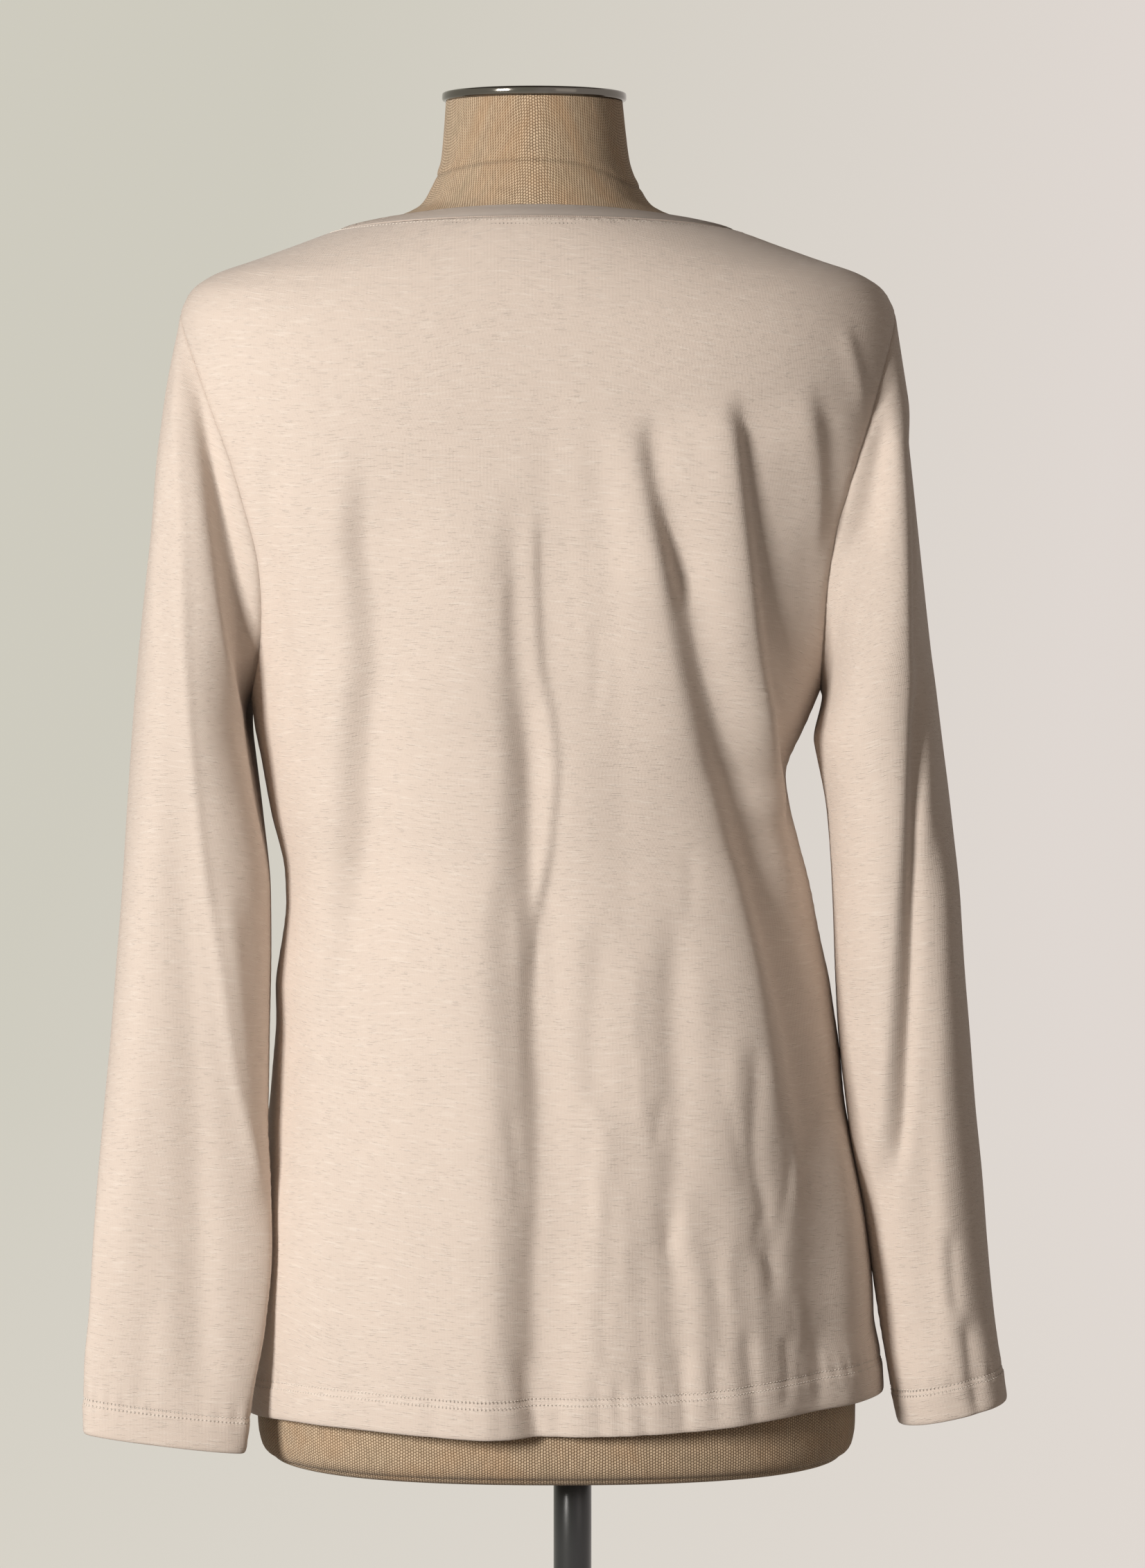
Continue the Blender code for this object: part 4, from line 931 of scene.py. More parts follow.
def stitches(cloth, place, size, lean=0.0):
    """A row of stitches on one row of the cloth: each is a short thread that dips in at its ends.

    size is the stitches' length and the thread's radius."""
    length, radius = size
    line, normals = cloth.row(place)
    run = length_along(line[None], 1)[0]
    first_hole = 0.0 if cloth.closed else run[-1] / 2 % STITCH_PITCH
    count = int((run[-1] - first_hole) / STITCH_PITCH)
    starts = first_hole + (np.arange(count) + 0.5) * STITCH_PITCH - length / 2

    def at(distance, values):
        return np.stack([np.interp(distance, run, values[:, i]) for i in range(3)], axis=-1)

    normal = unit(at(starts + length / 2, normals))
    first, last = at(starts, line), at(starts + length, line)
    along = unit(last - first)
    side = np.cross(normal, along)
    slope = side * lean
    turns = np.linspace(0, 2 * math.pi, THREAD_SIDES, endpoint=False)
    rings = []
    for part, thick, rise in STITCH_SECTIONS:
        centre = first + (last - first) * part + slope * (part - 0.5) + normal * radius * rise
        ring = (side[:, None] * np.cos(turns)[:, None] + normal[:, None] * np.sin(turns)[:, None])
        rings.append(centre[:, None] + ring * radius * thick)
    verts = np.stack(rings, axis=1).reshape(-1, 3)
    corners = len(STITCH_SECTIONS) * THREAD_SIDES
    tube = grid_quads((len(STITCH_SECTIONS), THREAD_SIDES), True)[1]
    one = np.concatenate([tube, STITCH_ENDS])
    faces = (one[None] + np.arange(count)[:, None, None] * corners).reshape(-1, 4)
    weave = np.repeat(np.stack([starts, np.zeros(count), np.zeros(count)], axis=-1), corners, axis=0)
    return verts, facing_out(verts, faces), weave


def joined(*meshes):
    """Several meshes as one."""
    verts, faces, weaves, count = [], [], [], 0
    for points, quads, weave in meshes:
        verts.append(points)
        faces.append(quads + count)
        weaves.append(weave)
        count += len(points)
    return np.concatenate(verts), np.concatenate(faces), np.concatenate(weaves)


def with_end_dots(rings):
    """A grid of rings with one more ring at each end, whose values all are its neighbour's mean."""
    ends = [np.repeat(rings[i].mean(axis=0, keepdims=True), rings.shape[1], axis=0) for i in (0, -1)]
    return np.concatenate([ends[0][None], rings, ends[1][None]])


def rings_solid(points):
    """Verts and quads of a closed solid through a grid of rings, closed by a dot at each end."""
    points = with_end_dots(points)
    return points.reshape(-1, 3), grid_quads(points.shape[:2], True)[1]


def neck_seam_height(x):
    """The seam round the form's neck stands highest at the middle of the back."""
    away = (x - middle_x(NECK_SEAM)) / NECK_SEAM_HALF
    fall = np.where(away > 0, NECK_SEAM_FALL["right"], NECK_SEAM_FALL["left"])
    return NECK_SEAM - fall * np.clip(np.abs(away), 0, 1) ** NECK_SEAM_BEND


def dress_form():
    """The covered form, with its seams at the neck and round its foot."""
    angle = np.linspace(0, 2 * math.pi, FORM_AROUND, endpoint=False)[None]
    heights = np.concatenate([FOOT_HEIGHTS, np.arange(12, NECK_STARTS, FORM_STEP),
                              np.arange(NECK_STARTS, FORM_TOP, NECK_STEP), [FORM_TOP]])[:, None]
    angle, height = np.broadcast_arrays(angle, heights)
    points = form_point(angle, height)
    normals = outward(form_point, angle, height)
    from_seam = height - neck_seam_height(points[..., 0])
    from_foot = height - FOOT_SEAM
    relief = -NECK_GROOVE * bell(from_seam, 1.1) + COVER_ROLL * bell(from_seam - 3.0, 2.6)
    relief = relief - FOOT_GROOVE * bell(from_foot, 0.9) + COVER_ROLL * bell(from_foot + 2.0, 1.4)
    relief = np.where(height > FOOT_HEIGHTS[0], relief, 0)
    points = points + normals * relief[..., None]
    across = length_along(closed_up(points), 1)[:, :-1]
    # painted shade along the neck seam and the foot seam
    seam = np.maximum(bell(from_seam, 1.0), bell(from_foot, 0.8))
    back = 3 * FORM_AROUND // 4  # the yarns hang true down the middle of the back
    across = across - across[:, back:back + 1]
    weave = with_end_dots(np.stack([across, length_along(points, 0), seam], axis=-1))
    verts, faces = rings_solid(points)
    return verts, faces, weave.reshape(-1, 3)


def lathe(profile, middle, sides):
    """A solid turned from (radius, height) pairs about an upright line. Its points are its weave."""
    radius, height = (np.array(values, float)[:, None] for values in zip(*profile))
    turns = np.linspace(0, 2 * math.pi, sides, endpoint=False)[None]
    points = np.stack(np.broadcast_arrays(
        middle + radius * np.cos(turns), radius * np.sin(turns), height), axis=-1)
    verts, faces = rings_solid(points)
    return verts, faces, verts


# Finishes

def calc(finish, operation, *values):
    """A Math node on sockets and numbers."""
    made = finish.node("Math", {"operation": operation}, dict(enumerate(values)))
    return Socket(finish, made.outputs[0])


class Socket:
    """An output of a finish's node, so that maths on it reads as plain expressions."""

    def __init__(self, finish, output):
        self.finish, self.output = finish, output

    def __add__(self, other):
        return calc(self.finish, "ADD", self, other)

    def __radd__(self, other):
        return calc(self.finish, "ADD", other, self)

    def __sub__(self, other):
        return calc(self.finish, "SUBTRACT", self, other)

    def __rsub__(self, other):
        return calc(self.finish, "SUBTRACT", other, self)

    def __mul__(self, other):
        return calc(self.finish, "MULTIPLY", self, other)

    def __truediv__(self, other):
        return calc(self.finish, "DIVIDE", self, other)

    def sine(self):
        return calc(self.finish, "SINE", self)

    def waves(self, pitch):
        """A sine wave that comes back after each pitch."""
        return (self * (2 * math.pi / pitch)).sine()

    def floor(self):
        return calc(self.finish, "FLOOR", self)

    def part(self, whole):
        return calc(self.finish, "FLOORED_MODULO", self, whole)

    def within(self, low=0.0, high=1.0):
        made = self.finish.node("Clamp", None, {"Value": self, "Min": low, "Max": high})
        return Socket(self.finish, made.outputs[0])


class Finish:
    """One material, built node by node."""

    def __init__(self, name, colour):
        self.material = bpy.data.materials.new(name)
        self.material.use_nodes = True
        self.material.diffuse_color = (*colour[:3], 1.0)
        self.tree = self.material.node_tree
        self.shader = self.tree.nodes["Principled BSDF"]

    def node(self, kind, settings=None, inputs=None):
        """A node of one type: its settings are set first, and then its sockets."""
        made = self.tree.nodes.new("ShaderNode" + kind)
        for name, value in (settings or {}).items():
            setattr(made, name, value)
        for name, value in (inputs or {}).items():
            self.feed(made.inputs[name], value)
        return made

    def feed(self, socket, value):
        if isinstance(value, Socket):
            self.tree.links.new(value.output, socket)
        elif value is not None:
            socket.default_value = value

    def set(self, **values):
        """Sockets of the shader itself, by their names with _ for a space."""
        for name, value in values.items():
            self.feed(self.shader.inputs[name.replace("_", " ")], value)

    def attribute(self, name):
        return Socket(self, self.node("Attribute", {"attribute_name": name}).outputs["Vector"])

    def number(self, name):
        return Socket(self, self.node("Attribute", {"attribute_name": name}).outputs["Fac"])

    def place(self):
        return Socket(self, self.node("NewGeometry").outputs["Position"])

    def parts(self, vector):
        made = self.node("SeparateXYZ", None, {0: vector})
        return [Socket(self, output) for output in made.outputs]

    def vector(self, x, y, z=0.0):
        return Socket(self, self.node("CombineXYZ", None, {0: x, 1: y, 2: z}).outputs[0])

    def noise(self, vector, scale=1.0, detail=2.0, rough=0.5):
        made = self.node("TexNoise", {"noise_dimensions": "3D"},
                         {"Vector": vector, "Scale": scale, "Detail": detail, "Roughness": rough})
        return Socket(self, made.outputs[0])

    def mix(self, factor, first, second):
        made = self.node("Mix", {"data_type": "RGBA"}, {0: factor, 6: first, 7: second})
        return Socket(self, made.outputs[2])

    def tint(self, colour, strength):
        """A colour made lighter or darker by a number that varies."""
        colour = colour if isinstance(colour, Socket) else colour[:3]
        made = self.node("VectorMath", {"operation": "SCALE"}, {0: colour, 3: strength})
        return Socket(self, made.outputs[0])

    def relief(self, height, strength=1.0):
        """Bumps from a height in millimetres."""
        made = self.node("Bump", None, {"Strength": strength, "Distance": MM, "Height": height})
        self.set(Normal=Socket(self, made.outputs[0]))


def jersey_finish(sizes):
    """Slub jersey: fine ribs down, and uneven yarn that shows as short streaks across them, with a painted
    shadow along each short dark dash and a painted highlight beside it; painted shade along the seams and
    in the stitch holes.
    """
    base = tuple(sizes.jersey_colour)
    finish = Finish("slub_jersey", base)
    across, along, seam = finish.parts(finish.attribute("weave"))
    from_row = finish.number("from_row")
    wander = finish.noise(finish.vector(across * 0.009, along * 0.009), detail=1.0)
    course = along - across * 0.07 + wander * 22
    thick = finish.noise(finish.vector(across * 0.075, course * 0.62), detail=3.0)
    thick = ((thick - 0.52) * 5).within()
    # dash marks a painted shadow along each short streak; lit, the same noise moved a little along the
    # cloth, is a painted highlight beside it
    dash = finish.noise(finish.vector(across * 0.14 + 31, course * 1.5 + 7), detail=2.0)
    dash_shadow = ((dash - 0.60) * 9).within()
    lit = finish.noise(finish.vector(across * 0.14 + 31, course * 1.5 + 6.45), detail=2.0)
    lit = ((lit - 0.60) * 11).within()
    cloud = finish.noise(finish.vector(across * 0.035, along * 0.06), detail=3.0)
    speck = finish.noise(finish.vector(across * 1.1, course * 1.1 + 3), detail=1.0)
    speck = ((speck - 0.74) * 16).within()
    rib = across.waves(sizes.rib_pitch)
    loop = (along * (2 * math.pi / (sizes.rib_pitch * 0.8)) + rib * 0.9).sine()
    # painted shade in the holes where the stitches go into the cloth, beside each row of stitches
    stitch_hole_shade = (((across * (2 * math.pi / STITCH_PITCH) + math.pi / 2).sine() - 0.45) * 3).within()
    stitch_hole_shade = stitch_hole_shade * (1.5 - from_row * 2.4).within()
    slub = sizes.slub
    colour = finish.mix(thick * (0.42 * slub), (*base[:3], 1), tuple(sizes.jersey_pale))
    # painted shadow along the dashes, then the painted highlights beside them together with the real pale
    # specks
    colour = finish.mix(dash_shadow * (0.26 * slub), colour, tuple(sizes.jersey_dash_shadow))
    colour = finish.mix(lit * (0.45 * slub) + speck * 0.4, colour, tuple(sizes.jersey_pale))
    # the seam term darkens the colour as painted shade along the seams
    shade = 0.965 + cloud * 0.07 + rib * 0.022 + loop * 0.012 - seam * 0.10 - stitch_hole_shade * 0.60
    finish.set(Base_Color=finish.tint(colour, shade), Roughness=0.80 + cloud * 0.16,
               Sheen_Weight=0.22, Sheen_Roughness=0.45, Specular_IOR_Level=0.25)
    finish.relief(thick * (0.08 * slub) - dash_shadow * (0.08 * slub) + lit * (0.10 * slub) + speck * 0.06
                  + rib * 0.03 + loop * 0.02 - stitch_hole_shade * 0.3)
    return finish.material


def rib_finish(sizes):
    """Rib for the neckband: round ribs that stand side by side."""
    base = tuple(sizes.jersey_colour)
    finish = Finish("neck_rib", base)
    across, along, seam = finish.parts(finish.attribute("weave"))
    rib, loop = across.waves(NECK_RIB_PITCH), along.waves(NECK_LOOP_PITCH)
    slub = ((finish.noise(finish.vector(across * 0.35, along * 0.6), detail=2.0) - 0.5) * 3).within()
    cloud = finish.noise(finish.vector(across * 0.03, along * 0.05), detail=3.0)
    colour = finish.mix(slub * 0.3, (*base[:3], 1), tuple(sizes.jersey_pale))
    # the seam term is painted shade along the band's seam
    shade = 0.93 + cloud * 0.06 + rib * 0.07 + loop * 0.012 - seam * 0.14
    finish.set(Base_Color=finish.tint(colour, shade), Roughness=0.82 + cloud * 0.14,
               Sheen_Weight=0.2, Sheen_Roughness=0.45, Specular_IOR_Level=0.25)
    finish.relief(rib * 0.12 + loop * 0.02 + slub * 0.05)
    return finish.material


def thread_finish(sizes):
    """Sewing thread: two strands twisted together."""
    base = tuple(sizes.thread_colour)
    finish = Finish("sewing_thread", base)
    x, y, z = finish.parts(finish.place())
    twist = (x + y + z).waves(TWIST_PITCH)
    fuzz = finish.noise(finish.place(), scale=900.0)
    finish.set(Base_Color=finish.tint((*base[:3], 1), 0.9 + twist * 0.08 + fuzz * 0.1),
               Roughness=0.6 + fuzz * 0.25, Sheen_Weight=0.15)
    finish.relief(twist * 0.04 + fuzz * 0.05)
    return finish.material


def linen_finish(sizes):
    """Coarse linen: pale raised grains of yarn in brick order, darker between them, unevenly dyed."""
    pale, dark = tuple(sizes.linen_pale), tuple(sizes.linen_dark)
    finish = Finish("coarse_linen", dark)
    across, along, seam = finish.parts(finish.attribute("weave"))
    wander = finish.noise(finish.vector(across * 0.05, along * 0.05), detail=1.0)
    u = across / sizes.linen_pitch + wander * 0.9
    yarn = u.floor()
    side = (u - yarn - 0.5) * 2
    own = finish.noise(finish.vector(yarn * 1.7, along * 0.16), detail=2.0)
    v = along / (sizes.linen_pitch * 1.12) + yarn.part(2) * 0.5 + wander * 0.7 + own * 0.5
    grain = (v - v.floor() - 0.5) * 2
    raised = ((1 - side * side * 0.9 - grain * grain * 0.95) * 1.5).within()
    slub = ((finish.noise(finish.vector(across * 0.9, along * 0.07 + 5), detail=2.0) - 0.58) * 8)
    slub = slub.within()
    dye = finish.noise(finish.vector(across * 0.028, along * 0.028), detail=4.0)
    warm = ((dye - 0.50) * 5).within()
    old = ((0.47 - dye) * 5).within()
    # paler on the raised grains, darker between them
    mask = (raised * (0.62 + own * 0.6) + slub * 0.2).within()
    colour = finish.mix(mask, (*dark[:3], 1), (*pale[:3], 1))
    colour = finish.mix(warm * 0.35, colour, DYE_WARM)
    colour = finish.mix(old * 0.25, colour, DYE_OLD)
    # the seam term is painted shade along the cover's seams
    finish.set(Base_Color=finish.tint(colour, 0.88 + own * 0.26 - seam * 0.24),
               Roughness=0.80 + own * 0.16, Sheen_Weight=0.12, Sheen_Roughness=0.5,
               Specular_IOR_Level=0.25)
    finish.relief(raised * 0.30 + slub * 0.14)
    return finish.material


def chrome_finish():
    """Polished chrome painted dark, as a painted reflection of the dark studio in front of it, with the
    faint rings of its turning and a few rubbed places.
    """
    finish = Finish("polished_chrome", CHROME)
    rings = finish.parts(finish.place())[2].waves(TURNING_PITCH)
    rubbed = finish.noise(finish.place(), scale=55.0, detail=4.0)
    worn = ((rubbed - 0.56) * 6).within()
    finish.set(Base_Color=finish.mix(worn * 0.3, CHROME, CHROME_RUBBED), Metallic=1.0,
               Roughness=0.12 + worn * 0.12)
    finish.relief(rings * 0.002 + rubbed * 0.004)
    return finish.material


def black_finish():
    """Satin black paint, with a slight orange peel and dust where it lies."""
    finish = Finish("satin_black", BLACK)
    peel = finish.noise(finish.place(), scale=420.0, detail=1.0)
    dust = finish.noise(finish.place(), scale=28.0, detail=5.0)
    worn = ((dust - 0.55) * 5).within()
    finish.set(Base_Color=finish.mix(worn * 0.35, BLACK, BLACK_DUSTY),
               Roughness=0.30 + worn * 0.18, Coat_Weight=0.25, Coat_Roughness=0.2)
    finish.relief(peel * 0.02)
    return finish.material


def studio_finish(sizes):
    """A smooth pale backdrop, a little greener on the left and warmer on the right."""
    left, right = tuple(sizes.backdrop_left), tuple(sizes.backdrop_right)
    finish = Finish("studio_backdrop", right)
    x, _, z = finish.parts(finish.place())
    sideways = (x * 0.55 + 0.5 - z * 0.12 + finish.noise(finish.place(), scale=0.4) * 0.1).within()
    colour = finish.mix(sideways, (*left[:3], 1), (*right[:3], 1))
    finish.set(Base_Color=finish.tint(colour, 0.35), Roughness=0.95, Specular_IOR_Level=0.1,
               Emission_Color=colour, Emission_Strength=sizes.backdrop_glow)
    return finish.material


# Objects

def add_piece(name, slot, finish, verts, faces, weave, from_row=None):
    """A piece from points in millimetres about the datum, that stays with the object."""
    mesh = bpy.data.meshes.new(name)
    lifted = (np.asarray(verts) + (0, 0, DATUM)) * MM
    flat = np.asarray(faces, np.int32)
    mesh.from_pydata(lifted.tolist(), [], facing_out(lifted, flat).tolist())
    attribute = mesh.attributes.new("weave", "FLOAT_VECTOR", "POINT")
    attribute.data.foreach_set("vector", np.asarray(weave, np.float32).ravel())
    if from_row is not None:
        attribute = mesh.attributes.new("from_row", "FLOAT", "POINT")
        attribute.data.foreach_set("value", np.asarray(from_row, np.float32))
    mesh.validate()
    mesh.shade_smooth()
    mesh.materials.append(finish)
    piece = bpy.data.objects.new(name, mesh)
    bpy.context.scene.collection.objects.link(piece)
    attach(piece, "root")
    return piece


def finish_named(name, make):
    """The finish of that name, made once."""
    return bpy.data.materials.get(name) or make()


def declare_cloth(piece, cloth):
    """Prints how large a piece of cloth was cut."""
    wide, long, area = cloth.flat()
    long = max(long, LEAST_CUT)
    print(f"{piece.name}: cut {wide:.3f} x {long:.3f} m, {area:.4f} m2")


# What a user may change

def number_property(name, description, default, least, most, **kind):
    return bpy.props.FloatProperty(name=name, description=description, default=default,
                                   min=least, max=most, **kind)


def length_property(name, description, default, least, most):
    return number_property(name, description, default, least, most, unit="LENGTH")


def colour_property(name, description, default):
    return bpy.props.FloatVectorProperty(name=name, description=description, default=default,
                                         size=4, subtype="COLOR", min=0.0, max=1.0)


class ShirtSizes(bpy.types.PropertyGroup):
    cloth: length_property("Cloth", "Thickness of the jersey", 0.0009, 0.0005, 0.0014)
    band: length_property("Neckband", "Thickness of the folded rib", 0.0016, 0.001, 0.0024)
    band_width: length_property("Neckband width", "Width of the neckband", 0.009, 0.006, 0.014)
    stitch_length: length_property(
        "Stitch length", "Length of a hem stitch that shows", 0.0014, 0.0008, 0.0019)
    thread: length_property("Thread", "Radius of the sewing thread", 0.00022, 0.0001, 0.0005)
    rib_pitch: number_property(
        "Rib pitch", "Pitch of the jersey's fine ribs, in millimetres", 0.72, 0.4, 2.0)
    slub: number_property(
        "Slub", "How strongly the uneven yarn shows", 1.0, 0.0, 2.0, subtype="FACTOR")
    jersey_colour: colour_property("Jersey", "Colour of the jersey", (0.745, 0.64, 0.56, 1.0))
    # also the colour of the painted highlight beside each dark dash
    jersey_pale: colour_property("Thick yarn", "Where the yarn is thick", (0.88, 0.80, 0.72, 1.0))
    # the colour of the painted shadow along each short dash
    jersey_dash_shadow: colour_property("Thin yarn", "Where the yarn is thin", (0.60, 0.475, 0.39, 1.0))
    thread_colour: colour_property("Thread", "Colour of the thread", (0.86, 0.79, 0.71, 1.0))


class FormSizes(bpy.types.PropertyGroup):
    linen_pitch: number_property(
        "Linen pitch", "Distance between the linen's yarns, in millimetres", 1.5, 0.6, 3.0)
    linen_pale: colour_property("Pale yarn", "Colour of the yarns on top", (0.72, 0.56, 0.39, 1.0))
    # the colour between the raised grains
    linen_dark: colour_property("Dark yarn", "Colour of the yarns below", (0.25, 0.16, 0.09, 1.0))
    pole_radius: length_property("Pole", "Radius of the pole", 0.0105, 0.008, 0.012)


class StudioSizes(bpy.types.PropertyGroup):
    backdrop_left: colour_property("Left", "Backdrop on the left", (0.62, 0.605, 0.53, 1.0))
    backdrop_right: colour_property("Right", "Backdrop on the right", (0.74, 0.69, 0.655, 1.0))
    backdrop_glow: number_property(
        "Glow", "How much of the backdrop's light is its own", 0.92, 0.0, 2.0, subtype="FACTOR")
    key: bpy.props.FloatProperty(
        name="Key light", description="Power of the soft light on the left", default=98.0,
        min=0.0, unit="POWER")
    fill: bpy.props.FloatProperty(
        name="Fill light", description="Power of the weak light on the right", default=4.0,
        min=0.0, unit="POWER")
    lens: number_property(
        "Lens", "Focal length of the camera, in millimetres", 125.0, 50.0, 300.0)


# Making the pieces

def jersey_and_thread(sizes):
    """The finishes of the jersey and the thread, and a stitch's length and radius in mm."""
    return (finish_named("slub_jersey", lambda: jersey_finish(sizes)),
            finish_named("sewing_thread", lambda: thread_finish(sizes)),
            (sizes.stitch_length / MM, sizes.thread / MM))


class TSHIRT_OT_body(bpy.types.Operator):
    """Cut, drape and hem the back and the front panel"""
    bl_idname = "tshirt.body"
    bl_label = "Back and front panels"

    def execute(self, context):
        sizes = context.scene.tshirt
        jersey, thread, stitch = jersey_and_thread(sizes)
        for face, columns in (("back", BACK_COLUMNS), ("front", FRONT_COLUMNS)):
            cloth = body_panel(face, columns, sizes.cloth / MM)
            piece = add_piece(face + "_panel", "jersey", jersey, *cloth.mesh())
            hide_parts(face)
            rows = [stitches(cloth, HEM_STEPS.index(height), stitch)
                    for height in HEM_ROWS_OF_STITCHES]
            up = length_along(cloth.points, 0).mean(axis=1)
            neck = int(np.argmin(np.abs(up[-1] - up - NECK_ROW_OF_STITCHES)))
            rows.append(stitches(cloth, neck, stitch, lean=0.9))
            sewing = add_piece(face + "_stitching", "jersey", thread, *joined(*rows))
            declare_cloth(piece, cloth)
        return {"FINISHED"}


class TSHIRT_OT_sleeves(bpy.types.Operator):
    """Set both sleeves into their armholes and hem their cuffs"""
    bl_idname = "tshirt.sleeves"
    bl_label = "Sleeves"

    def execute(self, context):
        sizes = context.scene.tshirt
        jersey, thread, stitch = jersey_and_thread(sizes)
        for arm in ("left", "right"):
            cloth = sleeve(arm, sizes.cloth / MM)
            piece = add_piece("sleeve_panel_" + arm, "jersey", jersey, *cloth.mesh())
            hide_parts("sleeve_" + arm)
            rows = [stitches(cloth, -1 - CUFF_STEPS.index(height), stitch)
                    for height in CUFF_ROWS_OF_STITCHES]
            sewing = add_piece("cuff_stitching_" + arm, "jersey", thread, *joined(*rows))
            declare_cloth(piece, cloth)
        return {"FINISHED"}


class TSHIRT_OT_neckband(bpy.types.Operator):
    """Fold the rib and set it into the neckline"""
    bl_idname = "tshirt.neckband"
    bl_label = "Neckband"

    def execute(self, context):
        sizes = context.scene.tshirt
        rib = finish_named("neck_rib", lambda: rib_finish(sizes))
        cloth = neckband(sizes.band / MM, sizes.band_width / MM)
        piece = add_piece("neckband_rib", "jersey", rib, *cloth.mesh())
        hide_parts("neckband")
        declare_cloth(piece, cloth)
        return {"FINISHED"}


class TSHIRT_OT_form(bpy.types.Operator):
    """Cover the limbless form with linen, seamed at its neck and foot"""
    bl_idname = "tshirt.form"
    bl_label = "Dress form"

    def execute(self, context):
        linen = finish_named("coarse_linen", lambda: linen_finish(context.scene.tshirt_form))
        piece = add_piece("form_cover", "linen", linen, *dress_form())
        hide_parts("dress_form")
        return {"FINISHED"}


class TSHIRT_OT_stand(bpy.types.Operator):
    """Turn the neck cap, the pole and the base"""
    bl_idname = "tshirt.stand"
    bl_label = "Neck cap, pole and base"

    def execute(self, context):
        sizes = context.scene.tshirt_form
        chrome = finish_named("polished_chrome", chrome_finish)
        black = finish_named("satin_black", black_finish)
        low = FORM_TOP + CAP_GAP
        cap = lathe([(radius, low + rise) for radius, rise in CAP_PROFILE], middle_x(FORM_TOP),
                    CAP_SIDES)
        piece = add_piece("neck_cap_chrome", "chrome", chrome, *cap)
        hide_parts("neck_cap")
        pole_radius = sizes.pole_radius / MM
        pole = lathe([(pole_radius - less, height) for less, height in POLE_PROFILE], 0.0, POLE_SIDES)
        piece = add_piece("pole_tube", "black_metal", black, *pole)
        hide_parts("pole")
        base = lathe([(radius, rise - DATUM) for radius, rise in BASE_PROFILE], 0.0, BASE_SIDES)
        piece = add_piece("base_disc", "black_metal", black, *base)
        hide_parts("base")
        return {"FINISHED"}


def soft_light(name, place, size, power, colour):
    """A rectangle of light, turned to the middle of the shirt."""
    light = bpy.data.lights.new(name, "AREA")
    light.energy, light.color = power, colour
    light.shape, light.size, light.size_y = "RECTANGLE", size[0], size[1]
    lamp = bpy.data.objects.new(name, light)
    lamp.location = place
    lamp.rotation_euler = (Vector(LIGHTS_AIM) - Vector(place)).to_track_quat("-Z", "Y").to_euler()
    bpy.context.scene.collection.objects.link(lamp)


def backdrop_bowl():
    """A level floor that turns up into a round wall, as points in millimetres above the floor."""
    profile = [(1.0, 0.0), (400.0, 0.0), (1500.0, 0.0), (3200.0, 0.0)]
    profile += [(FLOOR_RADIUS + FLOOR_BEND * math.sin(t), FLOOR_BEND * (1 - math.cos(t)))
                for t in np.linspace(0, math.pi / 2, 28)]
    profile += [(WALL_RADIUS, height) for height in np.linspace(FLOOR_BEND, WALL_TOP, 6)[1:]]
    radius, height = (np.array(values)[:, None] for values in zip(*profile))
    turns = np.linspace(0, 2 * math.pi, BACKDROP_SIDES, endpoint=False)[None]
    points = np.stack(np.broadcast_arrays(
        radius * np.cos(turns), radius * np.sin(turns), height - FLOOR_DROP), axis=-1)
    return points.reshape(-1, 3), grid_quads(points.shape[:2], True)[1]


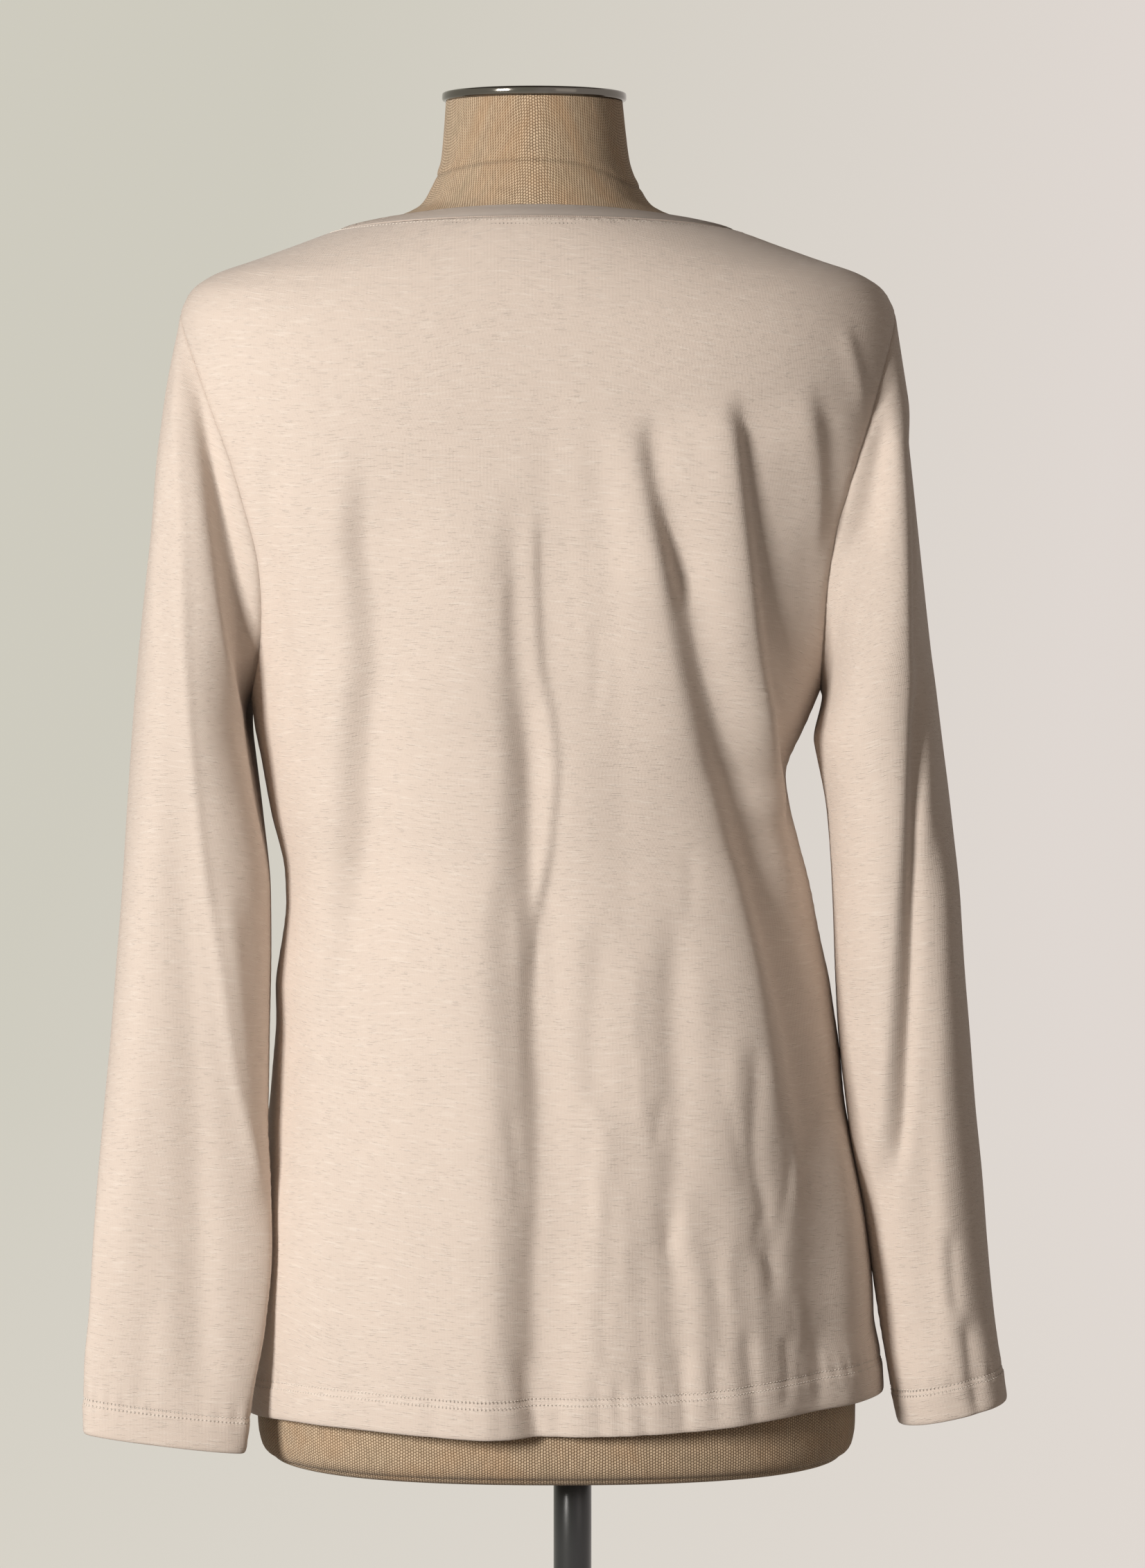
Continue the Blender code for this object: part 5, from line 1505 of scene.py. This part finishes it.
class TSHIRT_OT_studio(bpy.types.Operator):
    """Set up the pale studio, its soft lights and the camera"""
    bl_idname = "tshirt.studio"
    bl_label = "Studio and camera"

    def execute(self, context):
        scene, sizes = context.scene, context.scene.tshirt_studio
        verts, faces = backdrop_bowl()
        mesh = bpy.data.meshes.new("backdrop")
        mesh.from_pydata((verts * MM).tolist(), [], faces.tolist())
        mesh.shade_smooth()
        mesh.materials.append(finish_named("studio_backdrop", lambda: studio_finish(sizes)))
        backdrop = bpy.data.objects.new("backdrop", mesh)
        scene.collection.objects.link(backdrop)
        backdrop.visible_diffuse = False  # the studio's air lights the cloth, not its walls
        soft_light("key_light", KEY_PLACE, KEY_SIZE, sizes.key, KEY_COLOUR)
        soft_light("fill_light", FILL_PLACE, FILL_SIZE, sizes.fill, FILL_COLOUR)
        world = bpy.data.worlds.new("studio_air")
        world.use_nodes = True
        air = world.node_tree.nodes["Background"]
        air.inputs["Color"].default_value = AIR_COLOUR
        air.inputs["Strength"].default_value = AIR_STRENGTH
        scene.world = world
        camera = bpy.data.cameras.new("camera")
        camera.lens, camera.sensor_width, camera.sensor_fit = sizes.lens, 36.0, "AUTO"
        camera.clip_start, camera.clip_end = 0.05, 60.0
        seen = bpy.data.objects.new("camera", camera)
        seen.location = CAMERA_PLACE
        look = Vector(CAMERA_AIM) - seen.location
        seen.rotation_euler = look.to_track_quat("-Z", "Y").to_euler()
        scene.collection.objects.link(seen)
        scene.camera = seen
        scene.view_settings.view_transform = "Standard"
        return {"FINISHED"}


class TSHIRT_PT_panel(bpy.types.Panel):
    """Every step of the shirt, in the order in which they are made"""
    bl_idname = "TSHIRT_PT_panel"
    bl_label = "T-shirt"
    bl_space_type = "VIEW_3D"
    bl_region_type = "UI"
    bl_category = "T-shirt"

    def draw(self, context):
        scene = context.scene
        for group in (scene.tshirt, scene.tshirt_form, scene.tshirt_studio):
            box = self.layout.box()
            for name in group.bl_rna.properties.keys():
                if name not in ("rna_type", "name"):
                    box.prop(group, name)
        for step in STEPS:
            self.layout.operator(step.bl_idname)


GROUPS = {"tshirt": ShirtSizes, "tshirt_form": FormSizes, "tshirt_studio": StudioSizes}
STEPS = (TSHIRT_OT_form, TSHIRT_OT_body, TSHIRT_OT_sleeves, TSHIRT_OT_neckband, TSHIRT_OT_stand,
         TSHIRT_OT_studio)


def register():
    for made in (*GROUPS.values(), *STEPS, TSHIRT_PT_panel):
        bpy.utils.register_class(made)
    for name, group in GROUPS.items():
        setattr(bpy.types.Scene, name, bpy.props.PointerProperty(type=group))


def unregister():
    for name in GROUPS:
        delattr(bpy.types.Scene, name)
    for made in (TSHIRT_PT_panel, *reversed(STEPS), *GROUPS.values()):
        bpy.utils.unregister_class(made)


def main():
    register()
    bpy.ops.tshirt.form()
    bpy.ops.tshirt.body()
    bpy.ops.tshirt.sleeves()
    bpy.ops.tshirt.neckband()
    bpy.ops.tshirt.stand()
    bpy.ops.tshirt.studio()


if __name__ == "__main__":
    main()
